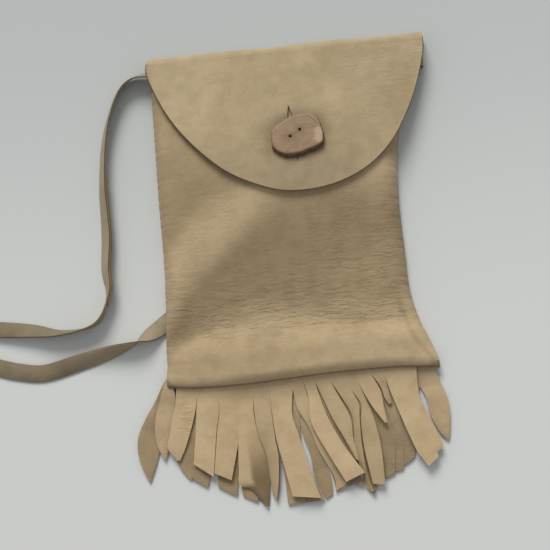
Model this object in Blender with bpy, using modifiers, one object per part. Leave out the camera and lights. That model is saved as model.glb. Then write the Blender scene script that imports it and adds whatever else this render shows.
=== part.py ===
"""A fringed leather medicine bag, lying on its back with its flap buttoned.

The front faces +Z, the fold of the flap lies towards +Y and the fringe towards -Y.
Lengths are in metres. Until the last step the bottom seam is the line y = 0.
"""

import math

import bmesh
import bpy
from mathutils import Matrix, Vector

# Leather, and the gap that touching pieces keep
LEATHER = 0.0011
GAP = 0.0003
LAYER = LEATHER + GAP

# How finely the sheets are divided, across and along, and their rounded stretches' share of it
BACK_GRID = (28, 40)
BACK_FLAT_SHARE = 0.75
FRONT_GRID = (28, 26)
FRONT_SIDE_SHARE = 0.3
FRONT_FOOT_SHARE = 0.2
FLAP_GRID = (28, 9)
ROUND_STEPS = 40
SHARP_ANGLE = math.radians(50)

# Pouch: how far each side lies from the middle line at heights above the bottom seam
LEFT_SIDE = ((0.0, -0.0695), (0.030, -0.0705), (0.100, -0.0718), (0.150, -0.0735), (0.180, -0.0750))
RIGHT_SIDE = (
    (0.0, 0.0693), (0.010, 0.0640), (0.025, 0.0590), (0.060, 0.0565),
    (0.100, 0.0562), (0.125, 0.0590), (0.150, 0.0665), (0.180, 0.0750),
)
BAG_TOP = 0.1790
MOUTH_LINE = 0.1600
WAY_IN = 0.0044
FULLNESS = 0.0050
SIDE_FALL = 0.6
SHOULDER_LENGTH = 0.045
EDGE_RADIUS = 0.0075
VALLEY_LINE = 0.028
VALLEY_DEPTH = 0.0012
VALLEY_WIDTH = 0.009

# Flap
FLAP_LENGTH = 0.0840
FLAP_CENTRE = 0.0060
FLAP_HALF_WIDTH = 0.0750
FLAP_SHOULDER = 0.0030
LEFT_ROUNDNESS = 0.75
RIGHT_ROUNDNESS = 0.55

# Buttonhole and the soft leather round it
SLIT_TOP = (0.0015, 0.1430)
SLIT_FOOT = (0.0049, 0.1110)
SLIT_WIDTH = 0.0030
SLIT_STEPS = 12
CUT_TOP = 0.0300
LIPS_CENTRE = (0.0050, 0.1265)
LIPS_HALF_WIDTH = 0.0175
LIPS_HALF_LENGTH = 0.0205

# Button
BUTTON_OUTLINE = (
    (-0.0083, 0.1240), (-0.0069, 0.1294), (-0.0003, 0.1343), (0.0077, 0.1357),
    (0.0139, 0.1334), (0.0188, 0.1274), (0.0189, 0.1213), (0.0155, 0.1173),
    (0.0075, 0.1148), (-0.0015, 0.1140), (-0.0065, 0.1173),
)
BUTTON_THICKNESS = 0.0032
BUTTON_LIFT = 0.0012
BUTTON_EDGE = 0.0005
BUTTON_STEP = 0.0022
EYES = ((0.0020, 0.1236), (0.0070, 0.1266))
EYE_RADIUS = 0.00075
EYE_STEPS = 16
THREAD_RADIUS = 0.00035
THREAD_FEET = ((0.0029, 0.1240), (0.0042, 0.1252))

# Fringe: each strip's root and tip on the strip's middle line, its width there and its slant
BAND_TOP = 0.0050
BAND_FOOT = -0.0060
STRIP_STEPS = 6
FRONT_BAND = (-0.0670, 0.0568)
FRONT_STRIPS = (
    (-0.0614, (-0.0675, -0.0370), 0.0098, 0.0095, 0.0050),
    (-0.0505, (-0.0534, -0.0440), 0.0106, 0.0098, -0.0028),
    (-0.0398, (-0.0436, -0.0486), 0.0096, 0.0086, -0.0016),
    (-0.0308, (-0.0336, -0.0530), 0.0070, 0.0066, -0.0020),
    (-0.0228, (-0.0205, -0.0600), 0.0080, 0.0050, 0.0010),
    (-0.0125, (-0.0020, -0.0610), 0.0115, 0.0110, 0.0),
    (-0.0034, (0.0125, -0.0520), 0.0052, 0.0042, 0.0015),
    (0.0029, (0.0230, -0.0520), 0.0062, 0.0090, 0.0018),
    (0.0101, (0.0276, -0.0460), 0.0072, 0.0024, 0.0),
    (0.0185, (0.0343, -0.0580), 0.0085, 0.0036, 0.0010),
    (0.0258, (0.0394, -0.0560), 0.0050, 0.0050, 0.0),
    (0.0316, (0.0405, -0.0260), 0.0054, 0.0046, 0.0010),
    (0.0374, (0.0435, -0.0170), 0.0050, 0.0034, 0.0),
    (0.0488, (0.0622, -0.0450), 0.0155, 0.0112, 0.0080),
)
BACK_BAND = (-0.0730, 0.0695)
BACK_STRIPS = (
    (-0.0690, (-0.0830, -0.0460), 0.0076, 0.0080, 0.0030),
    (-0.0618, (-0.0730, -0.0380), 0.0060, 0.0062, 0.0020),
    (-0.0538, (-0.0620, -0.0480), 0.0086, 0.0082, -0.0030),
    (-0.0448, (-0.0515, -0.0520), 0.0084, 0.0080, -0.0020),
    (-0.0358, (-0.0412, -0.0570), 0.0084, 0.0080, -0.0030),
    (-0.0268, (-0.0290, -0.0620), 0.0084, 0.0084, -0.0020),
    (-0.0178, (-0.0150, -0.0630), 0.0084, 0.0080, 0.0010),
    (-0.0088, (-0.0040, -0.0640), 0.0084, 0.0080, 0.0),
    (0.0002, (0.0070, -0.0620), 0.0084, 0.0080, 0.0010),
    (0.0092, (0.0180, -0.0600), 0.0084, 0.0080, 0.0),
    (0.0182, (0.0285, -0.0600), 0.0084, 0.0080, 0.0010),
    (0.0272, (0.0380, -0.0540), 0.0082, 0.0070, 0.0),
    (0.0360, (0.0460, -0.0500), 0.0080, 0.0068, 0.0010),
    (0.0448, (0.0535, -0.0430), 0.0080, 0.0064, 0.0010),
    (0.0560, (0.0600, -0.0190), 0.0095, 0.0050, 0.0),
    (0.0650, (0.0706, -0.0380), 0.0076, 0.0080, 0.0040),
)
FRINGE_FALL_LENGTH = 0.0080
FRINGE_CLEARANCE = 0.0001

# Strap: points of its middle line, how far each is lifted off the table, and in degrees how
# far the width is tilted there
STRAP_WIDTH = 0.0090
STRAP_REST = 0.00015
STRAP_STEP = 0.0060
FIRST_RUN = (
    (-0.0690, 0.1700, 0.0020, 18.0), (-0.0765, 0.1705, 0.0016, 25.0),
    (-0.0848, 0.1694, 0.0004, 50.0), (-0.0920, 0.1628, 0.0, 75.0),
    (-0.0977, 0.1479, 0.0, 80.0), (-0.1010, 0.1309, 0.0, 76.0),
    (-0.1021, 0.1083, 0.0, 66.0), (-0.1013, 0.0941, 0.0, 60.0),
    (-0.1005, 0.0802, 0.0, 60.0), (-0.1013, 0.0638, 0.0, 66.0),
    (-0.1012, 0.0500, 0.0, 76.0), (-0.1090, 0.0375, 0.0, 82.0),
    (-0.1277, 0.0334, 0.0, 60.0), (-0.1441, 0.0352, 0.0, 32.0),
    (-0.1606, 0.0381, 0.0, 12.0), (-0.1815, 0.0388, 0.0, 0.0),
)
LAST_RUN = (
    (-0.1647, 0.0167, 0.0, 0.0), (-0.1607, 0.0155, 0.0, 0.0),
    (-0.1498, 0.0126, 0.0, 0.0), (-0.1362, 0.0111, 0.0, 0.0),
    (-0.1171, 0.0152, 0.0, 16.0), (-0.1009, 0.0192, 0.0, 38.0),
    (-0.0870, 0.0232, 0.0, 20.0), (-0.0760, 0.0290, 0.0, 0.0),
    (-0.0560, 0.0440, 0.0, 0.0), (-0.0200, 0.0700, 0.0, 0.0),
    (0.0120, 0.0990, 0.0, 0.0), (0.0320, 0.1260, 0.0, 0.0),
    (0.0450, 0.1470, 0.0, 0.0), (0.0560, 0.1600, 0.0, 0.0),
    (0.0640, 0.1640, 0.0, 0.0), (0.0705, 0.1648, 0.0, 0.0),
)
UNDER_THE_BAG = slice(5, 16)
WRAP_CENTRE = 0.0724
WRAP_END = 0.0665
WRAP_STEPS = 4

# Loop of the strap, curled up flat: its outermost turn and its height over the table
COIL_CENTRE = (-0.2105, -0.0031)
COIL_OUTER_TURN = 0.0420
COIL_HEIGHT = 0.0028
COIL_STEPS = 64

# Groove that the strap presses into the back panel from below
GROOVE_DEPTH = STRAP_REST + LAYER
GROOVE_HALF_WIDTH = 0.0090
GROOVE_SLOPE = 0.0060
GROOVE_RUN_OUT = 0.0045
FRONT_SPARE = 0.0030

# Sizes that follow from the ones above
BACK_MIDDLE = LEATHER / 2
MOUTH_MIDDLE = GROOVE_DEPTH + LEATHER + WAY_IN + LEATHER / 2
FLAP_MIDDLE = MOUTH_MIDDLE + LAYER
ROLL_RADIUS = (FLAP_MIDDLE - BACK_MIDDLE) / 2
ROLL_CENTRE = BACK_MIDDLE + ROLL_RADIUS
ROLL_LINE = BAG_TOP - ROLL_RADIUS - LEATHER / 2
SIDE_RIM = LAYER
BOTTOM_RIM = 3 * LAYER


def clear_scene():
    """Removes every object of the startup scene."""
    for obj in list(bpy.data.objects):
        bpy.data.objects.remove(obj, do_unlink=True)


def collection(name):
    """A new collection in the scene."""
    made = bpy.data.collections.new(name)
    bpy.context.scene.collection.children.link(made)
    return made


def material(name, colour, roughness):
    """A plain Principled material."""
    made = bpy.data.materials.new(name)
    made.use_nodes = True
    shader = made.node_tree.nodes["Principled BSDF"]
    shader.inputs["Base Color"].default_value = (*colour, 1.0)
    shader.inputs["Roughness"].default_value = roughness
    shader.inputs["Metallic"].default_value = 0.0
    return made


def smooth_step(value):
    """0 below 0, 1 above 1 and a smooth rise between."""
    value = min(max(value, 0.0), 1.0)
    return value * value * (3 - 2 * value)


def value_at(points, place):
    """The value at a place on the smooth curve through (place, value) points."""
    if place <= points[0][0]:
        return points[0][1]
    for index in range(len(points) - 1):
        low, high = points[index], points[index + 1]
        if place <= high[0]:
            break
    else:
        return points[-1][1]
    before = points[max(index - 1, 0)]
    after = points[min(index + 2, len(points) - 1)]
    span = high[0] - low[0]
    slope_low = (high[1] - before[1]) / (high[0] - before[0])
    slope_high = (after[1] - low[1]) / (after[0] - low[0])
    t = (place - low[0]) / span
    return (
        (2 * t**3 - 3 * t**2 + 1) * low[1]
        + (t**3 - 2 * t**2 + t) * span * slope_low
        + (3 * t**2 - 2 * t**3) * high[1]
        + (t**3 - t**2) * span * slope_high
    )


def path_through(points, step, closed=False):
    """Points about one step apart on the smooth curve through the given points."""
    count = len(points)
    points = [Vector(point) for point in points]
    found = []
    for index in range(count if closed else count - 1):
        if closed:
            a, b, c, d = (points[(index + shift) % count] for shift in (-1, 0, 1, 2))
        else:
            a, b = points[max(index - 1, 0)], points[index]
            c, d = points[index + 1], points[min(index + 2, count - 1)]
        pieces = max(1, round((c.xy - b.xy).length / step))
        for piece in range(pieces):
            t = piece / pieces
            found.append(
                0.5 * (2 * b + (c - a) * t + (2 * a - 5 * b + 4 * c - d) * t**2
                       + (3 * b - a - 3 * c + d) * t**3)
            )
    if not closed:
        found.append(points[-1])
    return found


def left_side(y):
    """The left side of the pouch at a height above the seam."""
    return value_at(LEFT_SIDE, y)


def right_side(y):
    """The right side of the pouch at a height above the seam."""
    return value_at(RIGHT_SIDE, y)


def crown(x, y):
    """How high the middle of the front leather would stand if its edges weren't drawn down."""
    middle = (left_side(y) + right_side(y)) / 2
    across = min(abs(x - middle) / (right_side(y) - middle), 1.0)
    full = FULLNESS * smooth_step((MOUTH_LINE - y) / SHOULDER_LENGTH) * (1 - SIDE_FALL * across**2)
    valley = VALLEY_DEPTH * math.exp(-(((y - VALLEY_LINE) / VALLEY_WIDTH) ** 2))
    return MOUTH_MIDDLE + full - valley


def rounded_place(t, length, share):
    """A distance from an edge and the sine of its rounding, for t from the edge on."""
    if t < share:
        angle = math.pi / 2 * t / share
        return EDGE_RADIUS * (1 - math.cos(angle)), math.sin(angle)
    return EDGE_RADIUS + (length - EDGE_RADIUS) * (t - share) / (1 - share), 1.0


def front_place(u, v):
    """The middle surface of the front panel: u runs from left to right, v from the seam up."""
    y, low = rounded_place(v, MOUTH_LINE, FRONT_FOOT_SHARE)
    half = (right_side(y) - left_side(y) - LEATHER) / 2
    inwards, side = rounded_place(1 - abs(2 * u - 1), half, FRONT_SIDE_SHARE)
    x = left_side(y) + LEATHER / 2 + inwards
    if u > 0.5:
        x = right_side(y) - LEATHER / 2 - inwards
    rim = SIDE_RIM + (BOTTOM_RIM - SIDE_RIM) * smooth_step((2 * BAND_TOP - y) / (BAND_TOP - GAP))
    rim += groove(x, y, FRONT_SPARE)
    return Vector((x, y, rim + (crown(x, y) - rim) * side * low))


def groove(x, y, spare=0.0):
    """How far the leather is raised over the strap beneath it, in a groove made wider by spare."""
    here = Vector((x, y))
    nearest = math.inf
    stops = [Vector(point[:2]) for point in LAST_RUN[UNDER_THE_BAG]]
    for start, end in zip(stops, stops[1:]):
        along = end - start
        t = min(max((here - start).dot(along) / along.length_squared, 0.0), 1.0)
        nearest = min(nearest, (here - start - along * t).length)
    inside = GROOVE_HALF_WIDTH + GROOVE_SLOPE + spare - nearest
    run_out = smooth_step((ROLL_LINE - y) / GROOVE_RUN_OUT)
    return GROOVE_DEPTH * smooth_step(inside / GROOVE_SLOPE) * run_out


def back_place(u, v):
    """The middle surface of the back panel, up its flat and round the roll of the fold."""
    y = GAP + (ROLL_LINE - GAP) * min(v / BACK_FLAT_SHARE, 1.0)
    x = left_side(y) + (right_side(y) - left_side(y)) * u
    if v <= BACK_FLAT_SHARE:
        return Vector((x, y, BACK_MIDDLE + groove(x, y)))
    angle = math.pi * (v - BACK_FLAT_SHARE) / (1 - BACK_FLAT_SHARE)
    y = ROLL_LINE + ROLL_RADIUS * math.sin(angle)
    return Vector((x, y, ROLL_CENTRE - ROLL_RADIUS * math.cos(angle)))


def flap_edge(x):
    """The height above the seam of the flap's cut edge."""
    side, roundness = FLAP_CENTRE + FLAP_HALF_WIDTH, LEFT_ROUNDNESS
    if x > FLAP_CENTRE:
        side, roundness = FLAP_HALF_WIDTH - FLAP_CENTRE, RIGHT_ROUNDNESS
    share = min(abs(x - FLAP_CENTRE) / side, 1.0)
    deep = FLAP_LENGTH - ROLL_RADIUS - FLAP_SHOULDER
    return ROLL_LINE - FLAP_SHOULDER - deep * (1 - share**2) ** roundness


def flap_place(u, v):
    """The middle surface of the flap: u runs from left to right, v from its edge to the fold."""
    x = -FLAP_HALF_WIDTH * math.cos(math.pi * u)
    root = ROLL_LINE - GAP
    y = flap_edge(x) + (root - flap_edge(x)) * v
    return Vector((x, y, crown(x, y) + LAYER))


def finish_mesh(name, shape, where, look):
    """Links a bmesh as a smooth object with a material."""
    mesh = bpy.data.meshes.new(name)
    shape.to_mesh(mesh)
    shape.free()
    mesh.shade_smooth()
    mesh.set_sharp_from_angle(angle=SHARP_ANGLE)
    if look:
        mesh.materials.append(look)
    obj = bpy.data.objects.new(name, mesh)
    where.objects.link(obj)
    return obj


def thicken(obj):
    """Gives an open surface the thickness of the leather, half on each side."""
    solid = obj.modifiers.new("thickness", "SOLIDIFY")
    solid.thickness = LEATHER
    solid.offset = 0.0
    solid.use_even_offset = True
    return obj


def sheet(name, grid, place, where, look):
    """A sheet of leather whose middle surface is place(u, v), with u and v from 0 to 1."""
    shape = bmesh.new()
    bmesh.ops.create_grid(shape, x_segments=grid[0], y_segments=grid[1], size=0.5)
    for vert in shape.verts:
        vert.co = place(vert.co.x + 0.5, vert.co.y + 0.5)
    return thicken(finish_mesh(name, shape, where, look))


def prism(name, outline, low, high, where, look=None):
    """An upright block with the given outline, listed counter-clockwise."""
    shape = bmesh.new()
    base = shape.faces.new([shape.verts.new((point[0], point[1], low)) for point in outline])
    raised = bmesh.ops.extrude_face_region(shape, geom=[base])["geom"]
    for vert in (item for item in raised if isinstance(item, bmesh.types.BMVert)):
        vert.co.z = high
    bmesh.ops.recalc_face_normals(shape, faces=shape.faces)
    return finish_mesh(name, shape, where, look)


def cutter(obj):
    """Marks an object as a cutter, which isn't part of the bag."""
    obj.hide_render = True
    obj.display_type = "WIRE"
    return obj


def boolean(obj, other, operation):
    """Adds an exact Boolean."""
    cut = obj.modifiers.new(other.name, "BOOLEAN")
    cut.operation = operation
    cut.object = other
    cut.solver = "EXACT"


def ellipse(centre, half_width, half_length, steps=ROUND_STEPS):
    """Points round an ellipse."""
    turns = (2 * math.pi * step / steps for step in range(steps))
    return [
        (centre[0] + half_width * math.cos(turn), centre[1] + half_length * math.sin(turn))
        for turn in turns
    ]


def slit_outline(steps=SLIT_STEPS):
    """The open buttonhole: a lens between its two ends."""
    top, foot = Vector(SLIT_TOP), Vector(SLIT_FOOT)
    along = top - foot
    across = Vector((along.y, -along.x)).normalized()
    rise = [foot + along * (step / steps) for step in range(steps + 1)]
    bulge = [SLIT_WIDTH / 2 * math.sin(math.pi * step / steps) for step in range(steps + 1)]
    right = [point + across * wide for point, wide in zip(rise, bulge)]
    left = [point - across * wide for point, wide in zip(rise, bulge)]
    return right + left[-2:0:-1]


def strip_section(strip, share):
    """The left and right points of a fringe strip, and its slant, at a share of its length."""
    root, tip, root_width, tip_width, slant = strip
    middle = Vector((root, BAND_FOOT)).lerp(Vector(tip), share)
    width = root_width + (tip_width - root_width) * share
    half = Vector((width / 2, slant / 2 * share))
    return middle - half, middle + half


def fringe_height(y, layer):
    """How high the middle of a fringe's leather lies: in the seam, then down on the table."""
    rest = FRINGE_CLEARANCE + LEATHER / 2
    seam = LAYER + LEATHER / 2
    return rest + layer * LAYER + (seam - rest) * smooth_step(1 + (y + GAP) / FRINGE_FALL_LENGTH)


def fringe(name, band, strips, layer, where, look):
    """A comb of leather: an uncut band along the seam and the strips cut below it."""
    shape = bmesh.new()
    corners = {}

    def corner(x, y):
        key = (round(x, 6), round(y, 6))
        if key not in corners:
            corners[key] = shape.verts.new((x, y, fringe_height(y, layer)))
        return corners[key]

    def patch(lower, upper):
        shape.faces.new([corner(*lower[0]), corner(*lower[1]), corner(*upper[1]), corner(*upper[0])])

    stops = [band[0]]
    for strip in strips:
        stops += [point.x for point in strip_section(strip, 0.0)]
    stops.append(band[1])
    levels = [BAND_TOP, BAND_TOP / 2, 0.0, BAND_FOOT / 3, BAND_FOOT * 2 / 3, BAND_FOOT]
    for left, right in zip(stops, stops[1:]):
        for upper, lower in zip(levels, levels[1:]):
            patch(((left, lower), (right, lower)), ((left, upper), (right, upper)))
    for strip in strips:
        sections = [strip_section(strip, step / STRIP_STEPS) for step in range(STRIP_STEPS + 1)]
        for upper, lower in zip(sections, sections[1:]):
            patch(lower, upper)
    return thicken(finish_mesh(name, shape, where, look))


def curve_object(name, points, tilts, where, look):
    """A closed-ended curve through points."""
    data = bpy.data.curves.new(name, "CURVE")
    data.dimensions = "3D"
    data.twist_mode = "Z_UP"
    data.use_fill_caps = True
    data.bevel_resolution = 2
    spline = data.splines.new("POLY")
    spline.points.add(len(points) - 1)
    for target, point, tilt in zip(spline.points, points, tilts):
        target.co = (*point, 1.0)
        target.tilt = tilt
    data.materials.append(look)
    obj = bpy.data.objects.new(name, data)
    where.objects.link(obj)
    return obj


def strap_route(route):
    """Points along the strap's middle line, each with the tilt of its width in radians."""
    found = []
    for x, y, lift, tilt in path_through(route, STRAP_STEP):
        turn = math.radians(tilt)
        rest = STRAP_REST + abs(math.sin(turn)) * (STRAP_WIDTH - LEATHER) / 2 + LEATHER / 2
        found.append((Vector((x, y, lift + rest)), turn))
    return found


def wrapped_end():
    """The last run's end, which wraps round the side of the back panel into the mouth."""
    radius = LAYER
    y = LAST_RUN[-1][1]
    found = []
    for step in range(WRAP_STEPS + 1):
        angle = math.pi * step / WRAP_STEPS
        x = WRAP_CENTRE + radius * math.sin(angle)
        found.append((x, y, radius * (1 - math.cos(angle)), 0.0))
    return (*found, (WRAP_END, y, 2 * radius, 0.0))


def strap(name, route, where, look):
    """A stretch of the strap as a flat lace."""
    points, turns = zip(*strap_route(route))
    obj = curve_object(name, points, [turn + math.pi / 2 for turn in turns], where, look)
    obj.data.twist_mode = "MINIMUM"
    obj.data.extrude = (STRAP_WIDTH - LEATHER) / 2
    obj.data.bevel_depth = LEATHER / 2
    return obj


def coil(name, where, look):
    """The curled loop of the strap, as one turned disc."""
    rim = COIL_OUTER_TURN + STRAP_WIDTH / 2
    profile = ((0.0, COIL_HEIGHT), (rim, COIL_HEIGHT), (rim, STRAP_REST), (0.0, STRAP_REST))
    shape = bmesh.new()
    verts = [shape.verts.new((radius, 0.0, height)) for radius, height in profile]
    for start, end in zip(verts, verts[1:]):
        shape.edges.new((start, end))
    obj = finish_mesh(name, shape, where, look)
    obj.location = (*COIL_CENTRE, 0.0)
    turn = obj.modifiers.new("turn", "SCREW")
    turn.steps = COIL_STEPS
    turn.render_steps = COIL_STEPS
    turn.use_merge_vertices = True
    turn.merge_threshold = 0.00001
    return obj


def button(where, look, cutters):
    """The sliced button with its two eyes."""
    outline = path_through(BUTTON_OUTLINE, BUTTON_STEP, closed=True)
    low = max(crown(*point) for point in outline) + LAYER + LEATHER / 2 + BUTTON_LIFT
    outline.reverse()
    obj = prism("button", outline, low, low + BUTTON_THICKNESS, where, look)
    edge = obj.modifiers.new("edge", "BEVEL")
    edge.width = BUTTON_EDGE
    edge.segments = 2
    edge.limit_method = "ANGLE"
    for number, eye in enumerate(EYES, 1):
        ring = ellipse(eye, EYE_RADIUS, EYE_RADIUS, EYE_STEPS)
        hole = prism(f"eye_{number}", ring, 0.0, CUT_TOP, cutters)
        boolean(obj, cutter(hole), "DIFFERENCE")
    return obj, low


def thread(where, look, low):
    """The sinew from the front panel through the buttonhole, both eyes and back."""
    high = low + BUTTON_THICKNESS + GAP + THREAD_RADIUS
    foot = [crown(*place) + LEATHER / 2 + GAP for place in THREAD_FEET]
    neck = foot[0] + LAYER + GAP + THREAD_RADIUS
    under = low - GAP / 2 - THREAD_RADIUS
    route = [
        (*THREAD_FEET[0], foot[0]), (*THREAD_FEET[0], neck),
        (*EYES[0], under), (*EYES[0], high),
        (*EYES[1], high), (*EYES[1], under),
        (*THREAD_FEET[1], neck), (*THREAD_FEET[1], foot[1]),
    ]
    obj = curve_object("button_thread", route, [0.0] * len(route), where, look)
    obj.data.twist_mode = "MINIMUM"
    obj.data.bevel_depth = THREAD_RADIUS
    return obj


def flap_and_lips(where, look, cutters):
    """The flap with an oval opening, and in it the soft leather round the buttonhole."""
    flap = sheet("flap", FLAP_GRID, flap_place, where, look)
    lips = sheet("buttonhole_lips", FLAP_GRID, flap_place, where, look)
    window = ellipse(LIPS_CENTRE, LIPS_HALF_WIDTH + GAP, LIPS_HALF_LENGTH + GAP)
    plug = ellipse(LIPS_CENTRE, LIPS_HALF_WIDTH, LIPS_HALF_LENGTH)
    boolean(flap, cutter(prism("window", window, 0.0, CUT_TOP, cutters)), "DIFFERENCE")
    boolean(lips, cutter(prism("plug", plug, 0.0, CUT_TOP, cutters)), "INTERSECT")
    boolean(lips, cutter(prism("slit", slit_outline(), 0.0, CUT_TOP, cutters)), "DIFFERENCE")
    return flap, lips


def world_box(objects):
    """The lowest and highest corner of the objects as they are evaluated."""
    graph = bpy.context.evaluated_depsgraph_get()
    found = []
    for obj in objects:
        evaluated = obj.evaluated_get(graph)
        shape = evaluated.to_mesh()
        found += [evaluated.matrix_world @ vert.co for vert in shape.vertices]
        evaluated.to_mesh_clear()
    low = Vector(min(point[axis] for point in found) for axis in range(3))
    high = Vector(max(point[axis] for point in found) for axis in range(3))
    return low, high


def put_origin(obj, place):
    """Moves an object's origin without moving its shape."""
    obj.data.transform(Matrix.Translation(-place))
    obj.location = place


def main():
    """Builds the bag with the bottom centre of its box, strap left out, at the origin."""
    clear_scene()
    bag = collection("medicine_bag")
    cutters = collection("cutters")
    hide = material("buckskin", (0.455, 0.338, 0.200), 0.85)
    flesh = material("flap_leather", (0.480, 0.365, 0.220), 0.85)
    lace = material("strap_leather", (0.260, 0.195, 0.130), 0.85)
    wood = material("button_wood", (0.290, 0.190, 0.110), 0.6)
    sinew = material("sinew", (0.200, 0.130, 0.080), 0.6)
    back = sheet("back_panel", BACK_GRID, back_place, bag, hide)
    front = sheet("front_panel", FRONT_GRID, front_place, bag, hide)
    comb_back = fringe("fringe_back", BACK_BAND, BACK_STRIPS, 0, bag, hide)
    comb_front = fringe("fringe_front", FRONT_BAND, FRONT_STRIPS, 1, bag, hide)
    flap, lips = flap_and_lips(bag, flesh, cutters)
    slice_of_wood, low = button(bag, wood, cutters)
    stitch = thread(bag, sinew, low)
    bodies = [back, front, comb_back, comb_front, flap, lips, slice_of_wood, stitch]
    strap("strap_first_run", FIRST_RUN, bag, lace)
    coil("strap_coil", bag, lace)
    strap("strap_last_run", LAST_RUN + wrapped_end(), bag, lace)
    bpy.context.view_layer.update()
    low, high = world_box(bodies)
    shift = Vector((-(low.x + high.x) / 2, -(low.y + high.y) / 2, -low.z))
    hinge = Vector((0.0, ROLL_LINE - GAP / 2, FLAP_MIDDLE + LEATHER / 2 + GAP / 2))
    for obj in (flap, lips):
        put_origin(obj, hinge)
    for obj in list(bag.objects) + list(cutters.objects):
        obj.location += shift
    bpy.context.view_layer.update()
    print("Fold axis at", tuple(round(value, 5) for value in hinge + shift))


main()
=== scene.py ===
"""Dresses the fringed buckskin medicine bag and sets it in a plain studio.

Every piece is modelled in the bag's own coordinates, in metres: the bottom seam is the
line y = 0, the fold of the flap lies towards +Y, the front faces +Z and the table is
z = 0. ``mesh_object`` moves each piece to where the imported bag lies.
"""

from __future__ import annotations

import logging
import math
from collections.abc import Sequence
from dataclasses import dataclass, field
from enum import Enum

import bmesh
import bpy
import numpy as np
from mathutils import Matrix, Vector


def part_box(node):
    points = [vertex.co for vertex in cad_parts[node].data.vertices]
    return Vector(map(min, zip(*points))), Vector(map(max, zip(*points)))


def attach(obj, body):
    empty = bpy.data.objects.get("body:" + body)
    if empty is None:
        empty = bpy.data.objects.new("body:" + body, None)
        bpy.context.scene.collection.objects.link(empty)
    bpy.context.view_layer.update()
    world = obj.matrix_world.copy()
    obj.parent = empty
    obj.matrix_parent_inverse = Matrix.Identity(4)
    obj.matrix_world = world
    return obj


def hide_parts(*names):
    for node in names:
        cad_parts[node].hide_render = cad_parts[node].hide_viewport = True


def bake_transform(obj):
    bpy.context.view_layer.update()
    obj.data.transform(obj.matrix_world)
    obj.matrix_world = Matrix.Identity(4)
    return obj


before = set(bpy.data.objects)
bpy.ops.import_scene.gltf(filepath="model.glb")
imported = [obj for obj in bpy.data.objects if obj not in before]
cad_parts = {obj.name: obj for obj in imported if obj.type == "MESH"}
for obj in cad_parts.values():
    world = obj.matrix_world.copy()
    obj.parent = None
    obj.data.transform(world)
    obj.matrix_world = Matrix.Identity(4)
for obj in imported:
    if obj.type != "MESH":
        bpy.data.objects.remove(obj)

LOG = logging.getLogger("medicine_bag")
MM = 0.001
LEATHER_SHARP = math.radians(55)
STRAP_SHARP = math.radians(50)
WOOD_SHARP = math.radians(40)

Array = np.ndarray
Colour = tuple[int, int, int]
Points = Sequence[Sequence[float]]
RoutePoint = tuple[float, float, float, float]


class Body(Enum):
    """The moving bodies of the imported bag."""

    POUCH = "pouch"
    FLAP = "flap"


class Slot(Enum):
    """The material slots of the bag's record."""

    BUCKSKIN = "buckskin"
    FLAP_LEATHER = "flap_leather"
    STRAP_LEATHER = "strap_leather"
    BUTTON_WOOD = "button_wood"
    SINEW = "sinew"


# ---- shapes in numbers


def smooth_step(value: Array | float) -> Array:
    """Gives 0 below 0, 1 above 1 and a smooth rise between."""
    value = np.clip(value, 0.0, 1.0)
    return value * value * (3 - 2 * value)


def hill(value: Array | float, centre: float, width: float) -> Array:
    """Gives a smooth hill of height 1 about a centre."""
    return np.exp(-(((np.asarray(value) - centre) / width) ** 2))


def through(points: Points, places: Array) -> Array:
    """Reads a smooth curve through (place, value) points.

    Args:
        points: The (place, value) pairs, with places that rise.
        places: The places to read it at.

    Returns:
        The values there, held level outside the points.
    """
    known = np.array(points, float)
    at, value = known[:, 0], known[:, 1]
    slope = np.gradient(value, at)
    places = np.clip(places, at[0], at[-1])
    index = np.clip(np.searchsorted(at, places) - 1, 0, len(at) - 2)
    span = at[index + 1] - at[index]
    t = (places - at[index]) / span
    return (
        (2 * t**3 - 3 * t**2 + 1) * value[index]
        + (t**3 - 2 * t**2 + t) * span * slope[index]
        + (3 * t**2 - 2 * t**3) * value[index + 1]
        + (t**3 - t**2) * span * slope[index + 1]
    )


def route_through(points: Array, step: float, closed: bool = False) -> Array:
    """Lays points about one step apart on the smooth curve through rows of numbers.

    Args:
        points: The rows, of which the first two columns are the place.
        step: The distance between the found points.
        closed: Whether the last row leads back to the first.

    Returns:
        The found rows.
    """
    points = np.asarray(points, float)
    count = len(points)
    found = []
    for index in range(count if closed else count - 1):
        ends = [index - 1, index, index + 1, index + 2]
        ends = [end % count for end in ends] if closed else np.clip(ends, 0, count - 1)
        a, b, c, d = points[ends]
        pieces = max(1, round(float(np.linalg.norm((c - b)[:2])) / step))
        for t in np.arange(pieces) / pieces:
            found.append(
                0.5 * (2 * b + (c - a) * t + (2 * a - 5 * b + 4 * c - d) * t**2
                       + (3 * b - a - 3 * c + d) * t**3)
            )
    if not closed:
        found.append(points[-1])
    return np.array(found)


def unrest(x: Array, y: Array, shortest: float, longest: float, seed: int) -> Array:
    """Gives a slow natural unevenness, from about -1 to 1.

    Args:
        x: Places across.
        y: Places along.
        shortest: The shortest wave, in metres.
        longest: The longest wave.
        seed: Which unevenness.

    Returns:
        The unevenness at each place.
    """
    random = np.random.default_rng(seed)
    total = np.zeros(np.broadcast(x, y).shape)
    for _ in range(9):
        wave = 2 * math.pi / random.uniform(shortest, longest)
        turn, phase = random.uniform(0, 2 * math.pi, 2)
        total += np.sin(wave * (x * math.cos(turn) + y * math.sin(turn)) + phase)
    return total / 4.5


# ---- the bag's form


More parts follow.
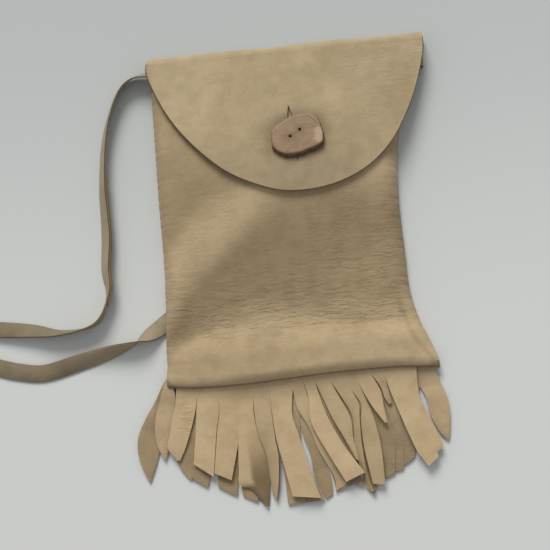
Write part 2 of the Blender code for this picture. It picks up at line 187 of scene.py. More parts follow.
@dataclass(frozen=True)
class BagForm:
    """The sizes that the bag's pieces share, and the surfaces that follow from them."""

    leather: float = 0.0011
    gap: float = 0.0003
    top: float = 0.1790
    mouth_line: float = 0.1600
    way_in: float = 0.0044
    fullness: float = 0.0050
    side_fall: float = 0.6
    shoulder_length: float = 0.045
    strap_rest: float = 0.00015
    left_side: Points = (
        (0.0, -0.0706), (0.018, -0.0706), (0.034, -0.0700), (0.060, -0.0703),
        (0.100, -0.0721), (0.150, -0.0739), (0.180, -0.0750),
    )
    right_side: Points = (
        (0.0, 0.0691), (0.004, 0.0686), (0.0115, 0.0660), (0.0236, 0.0611), (0.036, 0.0578),
        (0.060, 0.0563), (0.100, 0.0558), (0.125, 0.0583), (0.150, 0.0665), (0.180, 0.0750),
    )
    swell_line: Points = (
        (-70, 28), (-63, 36), (-57, 45), (-41, 61), (-28, 72), (-15, 84), (-6, 90), (15, 96), (56, 90),
    )
    corner_pull: Points = ((4, 65.4), (13, 58.3), (23.5, 54.2), (32.3, 51.6), (48, 49.4))
    valley: Points = ((-66, 20), (-57, 22), (-35, 28), (-15, 30), (11, 28), (26, 24), (46, 25), (66, 26))

    @property
    def layer(self) -> float:
        """One thickness of leather and the gap above it."""
        return self.leather + self.gap

    @property
    def groove_depth(self) -> float:
        """How far the strap presses into the back from below."""
        return self.strap_rest + self.layer

    @property
    def mouth_middle(self) -> float:
        """How high the front leather stands at the mouth."""
        return self.groove_depth + self.leather + self.way_in + self.leather / 2

    @property
    def flap_middle(self) -> float:
        """How high the flap's leather stands at the fold."""
        return self.mouth_middle + self.layer

    @property
    def roll_radius(self) -> float:
        """The radius of the fold's roll, at the middle of the leather."""
        return (self.flap_middle - self.leather / 2) / 2

    @property
    def roll_line(self) -> float:
        """The height above the seam at which the fold's roll starts."""
        return self.top - self.roll_radius - self.leather / 2

    def left(self, y: Array) -> Array:
        """The left side of the pouch at heights above the seam."""
        return through(self.left_side, y)

    def right(self, y: Array) -> Array:
        """The right side of the pouch at heights above the seam."""
        return through(self.right_side, y)

    def beside(self, x: Array, y: Array) -> Array:
        """How far a place lies below the line where the diagonal swell falls off, all in mm."""
        return (through(self.swell_line, x) - y) * 0.74

    def corner_furrow(self, x: Array, y: Array, width: float) -> Array:
        """The furrow that the right corner pulls, 1 along its middle.

        Args:
            x: Places across, in mm.
            y: Heights above the seam, in mm.
            width: How wide it is, in mm.

        Returns:
            The furrow's share at each place.
        """
        return np.exp(-(((x - through(self.corner_pull, y)) / width) ** 2)) * (1 - smooth_step((y - 26) / 20))

    def relief(self, x: Array, y: Array) -> Array:
        """The swells and hollows of the full pouch.

        Args:
            x: Places across, in metres.
            y: Heights above the seam, in metres.

        Returns:
            How far the leather stands over its even crown, in metres.
        """
        x, y = np.asarray(x) / MM, np.asarray(y) / MM
        beside = self.beside(x, y)
        here = smooth_step((y - 18) / 30) * (1 - smooth_step((y - 100) / 45))
        swell = (1.5 * (1 - smooth_step((beside + 14) / 24)) - 0.8 * hill(beside, 10, 12)) * here
        slack = -1.6 * smooth_step((100 - y) / 62) * (1 - smooth_step((26 - y) / 14))
        furrow = -0.9 * np.exp(-(((y - through(self.valley, x)) / 5.0) ** 2))
        band = 0.9 * hill(y, 13, 9) - 3.3 * (1 - smooth_step((y - 7) / 34))
        pull = -0.7 * self.corner_furrow(x, y, 2.4)
        button = -1.3 * np.exp(-(((x - 5.3) / 20) ** 2) - ((y - 123) / 15) ** 2)
        uneven = 0.4 * unrest(x * MM, y * MM, 0.022, 0.070, 4) * smooth_step((165 - y) / 30)
        return (swell + slack + furrow + band + pull + button + uneven) * MM

    def crown(self, x: Array, y: Array) -> Array:
        """How high the front leather would stand if its edges weren't drawn down.

        Args:
            x: Places across, in metres.
            y: Heights above the seam.

        Returns:
            The height at each place.
        """
        middle = (self.left(y) + self.right(y)) / 2
        across = np.clip(np.abs(x - middle) / (self.right(y) - middle), 0.0, 1.0)
        full = self.fullness * smooth_step((self.mouth_line - y) / self.shoulder_length)
        return self.mouth_middle + full * (1 - self.side_fall * across**2) + self.relief(x, y)


FORM = BagForm()
FLAP_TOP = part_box("flap")
PLACE = Vector(
    ((FLAP_TOP[0].x + FLAP_TOP[1].x) / 2, FLAP_TOP[1].y - (FORM.roll_line - FORM.gap), 0.0)
)


# ---- meshes


def grid_faces(rows: int, columns: int) -> Array:
    """Lists the quads of a grid of points that is listed row by row, seen from above."""
    start = (np.arange(rows - 1)[:, None] * columns + np.arange(columns - 1)).reshape(-1, 1)
    return start + np.array([0, 1, columns + 1, columns])


def show(name: str, data: bpy.types.ID) -> bpy.types.Object:
    """Makes an object at the origin and links it to the scene.

    Args:
        name: The object's name.
        data: Its mesh, curve, lamp or camera.

    Returns:
        The object.
    """
    obj = bpy.data.objects.new(name, data)
    bpy.context.scene.collection.objects.link(obj)
    return obj


def mesh_object(
    name: str,
    points: Array,
    faces: Sequence[Sequence[int]],
    looks: Sequence[bpy.types.Material],
    marks: dict[str, Array] | None = None,
) -> bpy.types.Object:
    """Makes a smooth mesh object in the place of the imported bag.

    Args:
        name: The object's name.
        points: The vertices in bag coordinates, in metres.
        faces: The faces as vertex numbers.
        looks: Its materials.
        marks: Numbers at each vertex that its material reads, by name.

    Returns:
        The object, at the origin.
    """
    mesh = bpy.data.meshes.new(name)
    places = np.asarray(points, float) + np.array(PLACE)
    mesh.from_pydata(places.tolist(), [], faces.tolist() if isinstance(faces, np.ndarray) else list(faces))
    for look in looks:
        mesh.materials.append(look)
    for mark, values in (marks or {}).items():
        layer = mesh.attributes.new(mark, "FLOAT", "POINT")
        layer.data.foreach_set("value", np.asarray(values, np.float32).ravel())
    mesh.shade_smooth()
    return show(name, mesh)


def prism(
    name: str, ring: Array, low: float, high: float, looks: Sequence[bpy.types.Material]
) -> bpy.types.Object:
    """Makes an upright cutter.

    Args:
        name: The object's name.
        ring: Its outline, seen from above.
        low: The height of its foot.
        high: The height of its top.
        looks: Its materials.

    Returns:
        The cutter.
    """
    count = len(ring)
    points = np.concatenate([np.column_stack([ring, np.full(count, level)]) for level in (low, high)])
    sides = [(i, (i + 1) % count, count + (i + 1) % count, count + i) for i in range(count)]
    caps = [tuple(range(count))[::-1], tuple(range(count, 2 * count))]
    return mesh_object(name, points, [*caps, *sides], looks)


def plain_mesh(obj: bpy.types.Object) -> bpy.types.Mesh:
    """Makes the mesh that an object's curve or modifiers give."""
    graph = bpy.context.evaluated_depsgraph_get()
    return bpy.data.meshes.new_from_object(obj.evaluated_get(graph))


def settle(obj: bpy.types.Object) -> None:
    """Applies an object's modifiers and leaves it a plain mesh.

    Args:
        obj: The object.
    """
    mesh = plain_mesh(obj)
    obj.modifiers.clear()
    old, obj.data = obj.data, mesh
    bpy.data.meshes.remove(old)
    mesh.name = obj.name


def weld(obj: bpy.types.Object, within: float = 0.000002) -> None:
    """Makes vertices that share a place one.

    Args:
        obj: The mesh object.
        within: How near counts as one place, in metres.
    """
    shape = bmesh.new()
    shape.from_mesh(obj.data)
    bmesh.ops.remove_doubles(shape, verts=shape.verts, dist=within)
    shape.to_mesh(obj.data)
    shape.free()


def face_outwards(obj: bpy.types.Object) -> None:
    """Turns every face of a closed mesh outwards.

    Args:
        obj: The mesh object.
    """
    shape = bmesh.new()
    shape.from_mesh(obj.data)
    bmesh.ops.recalc_face_normals(shape, faces=shape.faces)
    shape.to_mesh(obj.data)
    shape.free()


def thicken(obj: bpy.types.Object) -> None:
    """Gives an open surface the thickness of its leather, half on each side, with raw cut edges.

    Args:
        obj: The surface, whose second material is the cut edge's.
    """
    solid = obj.modifiers.new("thickness", "SOLIDIFY")
    solid.thickness = FORM.leather
    solid.offset = 0.0
    solid.use_even_offset = True
    solid.material_offset_rim = 1
    settle(obj)
    obj.data.set_sharp_from_angle(angle=LEATHER_SHARP)


def leather_sheet(
    name: str, x: Array, y: Array, z: Array, looks: Sequence[bpy.types.Material]
) -> bpy.types.Object:
    """Makes a thick sheet of leather from a grid of places.

    Args:
        name: The object's name.
        x: Places across, row by row.
        y: Heights above the seam.
        z: Heights of the leather's middle.
        looks: The leather and its cut edge.

    Returns:
        The sheet.
    """
    obj = mesh_object(name, np.stack([x, y, z], -1).reshape(-1, 3), grid_faces(*x.shape), looks)
    thicken(obj)
    return obj


def cut_away(obj: bpy.types.Object, knives: Sequence[bpy.types.Object]) -> None:
    """Cuts closed shapes out of an object and takes them away.

    Args:
        obj: The object.
        knives: The shapes.
    """
    for knife in knives:
        cut = obj.modifiers.new(knife.name, "BOOLEAN")
        cut.object = knife
        cut.solver = "EXACT"
    settle(obj)
    for knife in knives:
        bpy.data.objects.remove(knife)


def from_line(x: Array, y: Array, start: Array, end: Array) -> tuple[Array, Array]:
    """Measures places from a line.

    Args:
        x: Places across.
        y: Heights above the seam.
        start: The line's first end.
        end: Its second end.

    Returns:
        How far up the line each place lies, and how far beside it.
    """
    along = (end - start) / np.linalg.norm(end - start)
    up = (x - start[0]) * along[0] + (y - start[1]) * along[1]
    return up, (x - start[0]) * along[1] - (y - start[1]) * along[0]


def bag_places(obj: bpy.types.Object) -> Array:
    """Reads the vertices of an object.

    Args:
        obj: The mesh object.

    Returns:
        Its vertices in bag coordinates.
    """
    places = np.empty(len(obj.data.vertices) * 3, np.float32)
    obj.data.vertices.foreach_get("co", places)
    return places.reshape(-1, 3).astype(float) - np.array(PLACE)


def mark(obj: bpy.types.Object, name: str, values: Array) -> None:
    """Sets a number at each vertex of a finished mesh, for its material to read."""
    layer = obj.data.attributes.get(name) or obj.data.attributes.new(name, "FLOAT", "POINT")
    layer.data.foreach_set("value", np.asarray(values, np.float32).ravel())


def seat(obj: bpy.types.Object, body: Body, slot: Slot, *nodes: str) -> bpy.types.Object:
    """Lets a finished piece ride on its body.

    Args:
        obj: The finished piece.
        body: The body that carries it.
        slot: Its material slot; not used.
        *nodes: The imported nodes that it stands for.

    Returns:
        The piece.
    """
    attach(obj, body.value)
    if nodes:
        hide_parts(*nodes)
    LOG.info("%s: %d faces on %s", obj.name, len(obj.data.polygons), body.value)
    return obj


# ---- finishes


def linear(colour: Colour) -> tuple[float, float, float, float]:
    """Turns a screen colour into a linear one.

    Args:
        colour: Red, green and blue, 0 to 255.

    Returns:
        Red, green, blue and 1.
    """
    parts = (part / 255 for part in colour)
    flat = [part / 12.92 if part <= 0.04045 else ((part + 0.055) / 1.055) ** 2.4 for part in parts]
    return flat[0], flat[1], flat[2], 1.0


Source = bpy.types.NodeSocket | float | tuple


class Sketch:
    """Lays out the nodes of one material."""

    def __init__(self, name: str) -> None:
        """Starts a material with only its shader.

        Args:
            name: The material's name.
        """
        self.material = bpy.data.materials.new(name)
        self.material.use_nodes = True
        self.tree = self.material.node_tree
        self.shader = self.tree.nodes["Principled BSDF"]
        self.place = self.tree.nodes.new("ShaderNodeTexCoord").outputs["Object"]

    def feed(self, socket: bpy.types.NodeSocket, source: Source) -> None:
        """Links a socket to another, or sets its value.

        Args:
            socket: The input.
            source: An output or a plain value.
        """
        if isinstance(source, bpy.types.NodeSocket):
            self.tree.links.new(source, socket)
        else:
            socket.default_value = source

    def number(self, name: str) -> bpy.types.NodeSocket:
        """Reads a number that the mesh holds at each vertex.

        Args:
            name: What the mesh calls it.

        Returns:
            The number.
        """
        node = self.tree.nodes.new("ShaderNodeAttribute")
        node.attribute_name = name
        return node.outputs["Fac"]

    def math(
        self, operation: str, first: Source, second: Source = 0.0, third: Source = 0.0
    ) -> bpy.types.NodeSocket:
        """Works out one sum.

        Args:
            operation: Blender's name for the sum.
            first: The first value.
            second: The second value.
            third: The third value, where the sum has one.

        Returns:
            The result.
        """
        node = self.tree.nodes.new("ShaderNodeMath")
        node.operation = operation
        for socket, source in zip(node.inputs, (first, second, third)):
            self.feed(socket, source)
        return node.outputs[0]

    def stretched(self, x: float, y: float, z: float) -> bpy.types.NodeSocket:
        """The place, stretched along each axis.

        Args:
            x: The stretch along x.
            y: The stretch along y.
            z: The stretch along z.

        Returns:
            The stretched place.
        """
        node = self.tree.nodes.new("ShaderNodeMapping")
        self.feed(node.inputs["Vector"], self.place)
        node.inputs["Scale"].default_value = (x, y, z)
        return node.outputs[0]

    def noise(
        self,
        scale: float,
        detail: float = 3.0,
        rough: float = 0.55,
        place: Source | None = None,
        bend: float = 0.0,
    ) -> bpy.types.NodeSocket:
        """Makes a cloudy pattern about 0.5.

        Args:
            scale: How closely its clouds follow each other, per metre.
            detail: How many finer layers it has.
            rough: How strong those are.
            place: Where it is read, or None for the place on the object.
            bend: How far it is bent.

        Returns:
            The pattern.
        """
        node = self.tree.nodes.new("ShaderNodeTexNoise")
        self.feed(node.inputs["Vector"], place or self.place)
        node.inputs["Scale"].default_value = scale
        node.inputs["Detail"].default_value = detail
        node.inputs["Roughness"].default_value = rough
        node.inputs["Distortion"].default_value = bend
        return node.outputs["Fac"]

    def cells(self, scale: float) -> bpy.types.NodeSocket:
        """The distance to the nearest of scattered points.

        Args:
            scale: How closely the points lie, per metre.

        Returns:
            The distance.
        """
        node = self.tree.nodes.new("ShaderNodeTexVoronoi")
        self.feed(node.inputs["Vector"], self.place)
        node.inputs["Scale"].default_value = scale
        return node.outputs["Distance"]

    def between(
        self, value: Source, low: float, high: float, start: float = 0.0, end: float = 1.0
    ) -> bpy.types.NodeSocket:
        """Spreads a value smoothly over another range, held at its ends.

        Args:
            value: The value.
            low: Where it starts to change.
            high: Where it stops.
            start: The result at low.
            end: The result at high.

        Returns:
            The result.
        """
        node = self.tree.nodes.new("ShaderNodeMapRange")
        node.interpolation_type = "SMOOTHSTEP"
        sides = {"Value": value, "From Min": low, "From Max": high, "To Min": start, "To Max": end}
        for name, source in sides.items():
            self.feed(node.inputs[name], source)
        return node.outputs["Result"]

    def blend(self, share: Source, first: Source, second: Source, way: str = "MIX") -> bpy.types.NodeSocket:
        """Mixes two colours.

        Args:
            share: How much of the second there is.
            first: The first colour.
            second: The second colour.
            way: How they are mixed.

        Returns:
            The mix.
        """
        node = self.tree.nodes.new("ShaderNodeMix")
        node.data_type = "RGBA"
        node.blend_type = way
        for index, source in ((0, share), (6, first), (7, second)):
            self.feed(node.inputs[index], source)
        return node.outputs[2]

    def tint(self, share: Source, most: float, colour: Source, tone: Colour) -> bpy.types.NodeSocket:
        """Mixes a tone into a colour, by a share of the most there is of it."""
        return self.blend(self.math("MULTIPLY", share, most), colour, linear(tone))

    def raise_by(self, height: Source) -> None:
        """Bumps the shader's surface by a height in metres.

        Args:
            height: The height.
        """
        node = self.tree.nodes.new("ShaderNodeBump")
        node.inputs["Strength"].default_value = 1.0
        node.inputs["Distance"].default_value = 1.0
        self.feed(node.inputs["Height"], height)
        self.tree.links.new(node.outputs[0], self.shader.inputs["Normal"])

    def finish(self, colour: Source, rough: Source, **settings: float) -> bpy.types.Material:
        """Feeds the shader and returns the material.

        Args:
            colour: The surface's colour.
            rough: How rough it is.
            **settings: Other inputs of the shader.

        Returns:
            The material.
        """
        self.feed(self.shader.inputs["Base Color"], colour)
        self.feed(self.shader.inputs["Roughness"], rough)
        for name, value in settings.items():
            self.shader.inputs[name.replace("_", " ").title().replace("Ior", "IOR")].default_value = value
        return self.material


@dataclass(frozen=True)
class Leather:
    """Soft tanned leather: mottled, finely grained, creased and puckered where its mesh says so, and darkened
    by painted shade where its mesh's marks say and along its creases.
    """

    name: str
    tone: Colour
    light: Colour
    deep: Colour
    rough: float = 0.82
    grain: float = 0.00005
    crease: float = 0.00030
    ripple: float = 0.00085
    nap: float = 0.10
    # The colour that the painted shade is multiplied by.
    shadow: tuple[float, float, float, float] = (0.36, 0.345, 0.285, 1.0)

    def lines(self, draw: Sketch, x: float, y: float, width: float) -> bpy.types.NodeSocket:
        """Draws thin broken creases that run across the leather.

        Args:
            draw: The material's sketch.
            x: How closely they follow each other along x, per metre.
            y: How closely along y.
            width: How wide each is, as a share of the pattern.

        Returns:
            1 in the middle of a crease and 0 beside it.
        """
        wavy = draw.noise(1.0, 2.5, 0.5, draw.stretched(x, y, x), 0.7)
        off = draw.math("ABSOLUTE", draw.math("SUBTRACT", wavy, 0.5))
        broken = draw.between(draw.noise(1.0, 1, 0.5, draw.stretched(x * 1.7, y * 0.6, x)), 0.40, 0.56)
        return draw.math("MULTIPLY", draw.between(off, 0.0, width, 1.0, 0.0), broken)

    def make(self) -> bpy.types.Material:
        """Makes the material.

        Returns:
            The material.
        """
        draw = Sketch(self.name)
        broad = draw.between(draw.noise(24, 3, 0.5), 0.36, 0.66)
        cloud = draw.between(draw.noise(120, 4, 0.6), 0.35, 0.68)
        pores = draw.noise(1500, 3, 0.7)
        colour = draw.blend(broad, linear(self.tone), linear(self.light))
        colour = draw.tint(cloud, 0.16, colour, self.deep)
        colour = draw.tint(draw.between(pores, 0.45, 0.72), 0.14, colour, self.deep)
        # Painted shade: the mesh's shade mark darkens the colour towards the shadow colour.
        shaded = draw.math("MULTIPLY", draw.number("shade"), 0.75)
        colour = draw.blend(shaded, colour, self.shadow, "MULTIPLY")
        creased = draw.number("crease")
        creases = draw.math("MULTIPLY", self.lines(draw, 60, 330, 0.040), creased)
        puckers = draw.math("MULTIPLY", self.lines(draw, 40, 270, 0.060), draw.number("pucker"))
        lines = draw.math("ADD", puckers, draw.math("MULTIPLY", creases, 0.5))
        ripple = draw.noise(1.0, 3.0, 0.55, draw.stretched(120, 440, 120), 0.9)
        # Painted shade: the valleys of the ripples, and the creases and puckers, are darkened.
        painted_ripple_shade = draw.math("MULTIPLY", draw.between(ripple, 0.30, 0.52, 1.0, 0.0), creased)
        colour = draw.tint(painted_ripple_shade, 0.12, colour, self.deep)
        colour = draw.tint(lines, 0.14, colour, self.deep)
        # Painted shade: a dark line where the mesh's seam mark says, where the leather turns under at the
        # bottom seam.
        colour = draw.tint(draw.number("seam"), 0.85, colour, self.deep)
        height = draw.math("MULTIPLY", pores, self.grain)
        height = draw.math("MULTIPLY_ADD", draw.cells(620), self.grain * 0.9, height)
        height = draw.math("MULTIPLY_ADD", draw.noise(260, 3, 0.5), self.grain * 2.2, height)
        height = draw.math("MULTIPLY_ADD", lines, -self.crease * 0.5, height)
        waves = draw.math("MULTIPLY", draw.math("SUBTRACT", ripple, 0.5), creased)
        height = draw.math("MULTIPLY_ADD", waves, self.ripple, height)
        draw.raise_by(height)
        rough = draw.between(cloud, 0, 1, self.rough - 0.05, self.rough + 0.06)
        return draw.finish(colour, rough, sheen_weight=self.nap, sheen_roughness=0.5, specular_ior_level=0.3)


@dataclass(frozen=True)
class CutEdge:
    """The raw fibres at a cut edge of leather."""

    name: str
    tone: Colour
    deep: Colour

    def make(self) -> bpy.types.Material:
        """Makes the material.

        Returns:
            The material.
        """
        draw = Sketch(self.name)
        fibres = draw.noise(900, 4, 0.7, bend=0.6)
        colour = draw.blend(draw.between(fibres, 0.35, 0.7), linear(self.tone), linear(self.deep))
        draw.raise_by(draw.math("MULTIPLY", fibres, 0.00018))
        return draw.finish(colour, 0.95, specular_ior_level=0.15)


@dataclass(frozen=True)
class BarkedWood:
    """A sawn slice of twig with bark left on its rim."""

    name: str = "button_wood"
    face: Colour = (153, 128, 100)
    warm: Colour = (136, 108, 82)
    lobe: Colour = (176, 153, 126)
    bark: Colour = (72, 44, 30)

    def make(self) -> bpy.types.Material:
        """Makes the material.

        Returns:
            The material.
        """
        draw = Sketch(self.name)
        cloud = draw.between(draw.noise(210, 4, 0.6), 0.35, 0.65)
        rings = draw.number("ring")
        wave = draw.math("SINE", draw.math("MULTIPLY", rings, 46.0))
        wave = draw.between(draw.math("ADD", wave, draw.noise(500, 3, 0.6)), 0.2, 1.6)
        colour = draw.tint(cloud, 0.7, linear(self.face), self.warm)
        colour = draw.tint(wave, 0.06, colour, self.bark)
        colour = draw.blend(draw.number("lobe"), colour, linear(self.lobe))
        colour = draw.blend(draw.number("stain"), colour, linear(self.warm))
        colour = draw.tint(draw.number("stain"), 0.35, colour, self.bark)
        ragged = draw.math("MULTIPLY_ADD", draw.noise(420, 3, 0.6), 2.4, -1.2)
        off = draw.math("ABSOLUTE", draw.math("ADD", draw.number("crack_far"), ragged))
        past = draw.math("ABSOLUTE", draw.math("SUBTRACT", draw.number("crack_along"), 0.5))
        ends = draw.between(past, 0.4, 0.6, 1.0, 0.0)
        crack = draw.math("MULTIPLY", draw.between(off, 0.05, 0.40, 0.75, 0.0), ends)
        colour = draw.blend(crack, colour, linear(self.bark))
        flakes = draw.between(draw.noise(700, 4, 0.7), 0.3, 0.7, 0.75, 1.0)
        colour = draw.blend(draw.math("MULTIPLY", draw.number("bark"), flakes), colour, linear(self.bark))
        height = draw.math("MULTIPLY", draw.noise(700, 4, 0.7), 0.00012)
        saw = draw.noise(1.0, 2, 0.5, draw.stretched(160, 1100, 100))
        draw.raise_by(draw.math("MULTIPLY_ADD", saw, 0.00006, height))
        return draw.finish(colour, 0.6, specular_ior_level=0.35)


@dataclass(frozen=True)
class Sinew:
    """Twisted sinew thread."""

    name: str = "sinew"
    tone: Colour = (146, 121, 95)
    deep: Colour = (116, 92, 70)

    def make(self) -> bpy.types.Material:
        """Makes the material.

        Returns:
            The material.
        """
        draw = Sketch(self.name)
        twist = draw.noise(1800, 3, 0.6, bend=1.0)
        colour = draw.blend(draw.between(twist, 0.35, 0.65), linear(self.tone), linear(self.deep))
        draw.raise_by(draw.math("MULTIPLY", twist, 0.00012))
        return draw.finish(colour, 0.55, specular_ior_level=0.4)


@dataclass(frozen=True)
class Floor:
    """A plain pale floor, with painted shade that makes it a little darker far off."""

    name: str = "floor"
    near: Colour = (203, 205, 203)
    far: Colour = (183, 187, 186)

    def make(self) -> bpy.types.Material:
        """Makes the material.

        Returns:
            The material.
        """
        draw = Sketch(self.name)
        split = draw.tree.nodes.new("ShaderNodeSeparateXYZ")
        draw.feed(split.inputs[0], draw.place)
        # Painted shade: the floor darkens towards +Y, away from the camera.
        away = draw.between(split.outputs["Y"], -0.06, 0.17)
        return draw.finish(draw.blend(away, linear(self.near), linear(self.far)), 0.9, specular_ior_level=0.1)


@dataclass
class Looks:
    """Every material of the bag, made once."""

    hide: bpy.types.Material = field(
        default_factory=Leather("buckskin", (178, 156, 122), (186, 164, 129), (104, 84, 58)).make
    )
    flap: bpy.types.Material = field(
        default_factory=Leather("flap_buckskin", (176, 157, 123), (184, 165, 132), (112, 92, 66)).make
    )
    fringe: bpy.types.Material = field(
        default_factory=Leather("fringe_buckskin", (182, 159, 124), (190, 167, 131), (112, 90, 64)).make
    )
    fringe_under: bpy.types.Material = field(
        default_factory=Leather(
            "fringe_flesh_side", (178, 155, 122), (186, 164, 131), (98, 78, 58),
            rough=0.92, grain=0.0001, nap=0.15,
        ).make
    )
    strap: bpy.types.Material = field(
        default_factory=Leather(
            "strap_leather", (148, 134, 108), (158, 143, 117), (96, 80, 62), rough=0.75
        ).make
    )
    edge: bpy.types.Material = field(
        default_factory=CutEdge("cut_edge", (140, 116, 86), (92, 72, 50)).make
    )
    strap_edge: bpy.types.Material = field(
        default_factory=CutEdge("strap_cut_edge", (118, 98, 76), (80, 62, 46)).make
    )
    wood: bpy.types.Material = field(default_factory=BarkedWood().make)
    sinew: bpy.types.Material = field(default_factory=Sinew().make)
    thread: bpy.types.Material = field(
        default_factory=Sinew("seam_thread", (120, 94, 64), (84, 62, 42)).make
    )


# ---- the pouch


@dataclass
class FrontPanel:
    """The front of the pouch: crowned, its sides and foot turned under, puckered at its seams."""

    looks: Looks
    columns: int = 120
    rows: int = 300
    side_radius: float = 0.0075
    foot_radius: float = 0.0047
    side_share: float = 0.22
    foot_share: float = 0.10
    side_rim: float = 0.00115
    bottom_rim: float = 0.0042
    band_top: float = 0.0050
    # Where the painted shade over the front's hollow fades out towards the foot, and where the painted shade
    # above the swell's ridge starts, all in mm.
    shade_foot: Points = (
        (-66, 17), (-60, 22), (-44, 31), (-26, 37), (-9, 36), (16, 33), (33, 34), (46, 33), (56, 36),
    )
    upper_start: Points = ((-60, 21), (-46, 19), (-30, 13), (0, 9))
    foot_line: Points = (
        (-0.070, -0.0010), (-0.060, -0.0022), (-0.045, -0.0026), (-0.030, -0.0021),
        (-0.010, -0.0010), (0.010, 0.0004), (0.030, 0.0010), (0.050, 0.0011), (0.070, -0.0006),
    )

    def rounded(self, t: Array, length: Array | float, share: float, radius: float) -> tuple[Array, Array]:
        """Rounds an edge.

        Args:
            t: Shares of the way from the edge on.
            length: The whole way.
            share: The part of t that the rounding takes.
            radius: How far the rounding reaches.

        Returns:
            The distances from the edge and the sines of the rounding.
        """
        angle = math.pi / 2 * np.clip(t / share, 0, 1)
        flat = radius + (length - radius) * (t - share) / (1 - share)
        return (
            np.where(t < share, radius * (1 - np.cos(angle)), flat),
            np.where(t < share, np.sin(angle), 1.0),
        )

    def puckers(self, y: Array, seed: int) -> Array:
        """The depth, 0 to 1, of the gathers along one side seam.

        Args:
            y: Heights above the seam.
            seed: The seed of their spacing and depth.

        Returns:
            The depth at each height.
        """
        random = np.random.default_rng(seed)
        depth = np.zeros(np.shape(y))
        at = 0.006
        while at < FORM.mouth_line:
            depth += random.uniform(0.25, 1.0) * hill(y, at, random.uniform(0.0006, 0.0011))
            at += random.uniform(0.0032, 0.0080)
        return np.clip(depth, 0, 1)

    def build(self) -> bpy.types.Object:
        """Builds the panel and seats it.

        Returns:
            The panel.
        """
        u, v = np.meshgrid(np.linspace(0, 1, self.columns), np.linspace(0, 1, self.rows))
        y, low = self.rounded(v, FORM.mouth_line, self.foot_share, self.foot_radius)
        half = (FORM.right(y) - FORM.left(y) - FORM.leather) / 2
        inwards, side = self.rounded(1 - np.abs(2 * u - 1), half, self.side_share, self.side_radius)
        x = np.where(
            u > 0.5, FORM.right(y) - FORM.leather / 2 - inwards, FORM.left(y) + FORM.leather / 2 + inwards
        )
        rim = self.side_rim + (self.bottom_rim - self.side_rim) * smooth_step(
            (2 * self.band_top - y) / (self.band_top - FORM.gap)
        )
        rim = rim + Groove().depth_at(x, y, 0.003)
        z = rim + (FORM.crown(x, y) - rim) * side * low
        gathers = np.where(u > 0.5, self.puckers(y, 21), self.puckers(y, 8))
        near = np.exp(-inwards / 0.0055)
        x = x + np.where(u > 0.5, -1, 1) * gathers * np.exp(-inwards / 0.003) * 0.0004
        z = z - gathers * near * side * 0.00032
        y = y + through(self.foot_line, x) * (1 - smooth_step(y / 0.030))
        obj = leather_sheet("front_panel_leather", x, y, z, [self.looks.hide, self.looks.edge])
        self.dress(obj)
        seat(obj, Body.POUCH, Slot.BUCKSKIN, "front_panel")
        return obj

    def dress(self, obj: bpy.types.Object) -> None:
        """Marks where the leather is creased and puckered, and where shade is painted on it.

        Args:
            obj: The panel.
        """
        x, y, z = bag_places(obj).T
        xm, ym = x / MM, y / MM
        right = smooth_step((xm + 12) / 50)
        zone = hill(ym, 38, 14) + 0.9 * hill(ym, 62, 24) * right + 0.6 * hill(ym, through(FORM.valley, xm), 7)
        zone = zone + 0.5 * hill(xm, -50, 16) * hill(ym, 108, 26) + 0.28 * smooth_step((110 - ym) / 30)
        zone = zone * (1 - 0.85 * hill(ym, 8, 7)) * (0.75 + 0.5 * unrest(x, y, 0.012, 0.030, 12))
        zone = zone * (1 - 0.55 * np.exp(-np.clip(FORM.right(y) - x, 0, 1) / 0.007))
        mark(obj, "crease", np.clip(zone, 0, 1))
        inside = np.minimum(x - FORM.left(y), FORM.right(y) - x)
        mark(obj, "pucker", np.clip(np.exp(-np.clip(inside - 0.001, 0, 1) / 0.004), 0, 1) * 0.28)
        # Painted shade over the front's hollows, ridge and furrow.
        mark(obj, "shade", self.shade(xm, ym))
        # Painted shade: the seam mark, a dark line along the foot where the leather turns under to the bottom
        # seam.
        foot = through(self.foot_line, x)
        mark(obj, "seam", (1 - smooth_step((z - self.bottom_rim - 0.0008) / 0.0020)) * (y - foot < 0.003))

    def shade(self, x: Array, y: Array) -> Array:
        """The shade painted on the front: over its hollow below the diagonal swell, above the swell's ridge
        and along the corner's furrow.

        Args:
            x: Places across, in mm.
            y: Heights above the seam, in mm.

        Returns:
            The share of painted shade at each place.
        """
        beside = FORM.beside(x, y)
        reach = 5.5 + 6.0 * smooth_step((x + 50) / 50)
        over = smooth_step((y - through(self.shade_foot, x) + 7) / 14)
        hollow = smooth_step((beside + reach) / (2 * reach)) * over
        hollow = hollow * (1 - 0.24 * smooth_step((x - 5) / 25) * (1 - smooth_step((y - 48) / 30)))
        above = smooth_step((-beside - through(self.upper_start, x)) / 12)
        above = 0.68 * above * (1 - 0.22 * smooth_step((y - 105) / 20))
        margin = 1 - 0.35 * np.exp(-np.clip(x - FORM.left(y * MM) / MM, 0, 99) / 4.0) * (x < 0)
        pull = 0.35 * FORM.corner_furrow(x, y, 1.5)
        return np.clip(0.85 * np.maximum(hollow, above) * margin + pull + 0.04, 0, 1)


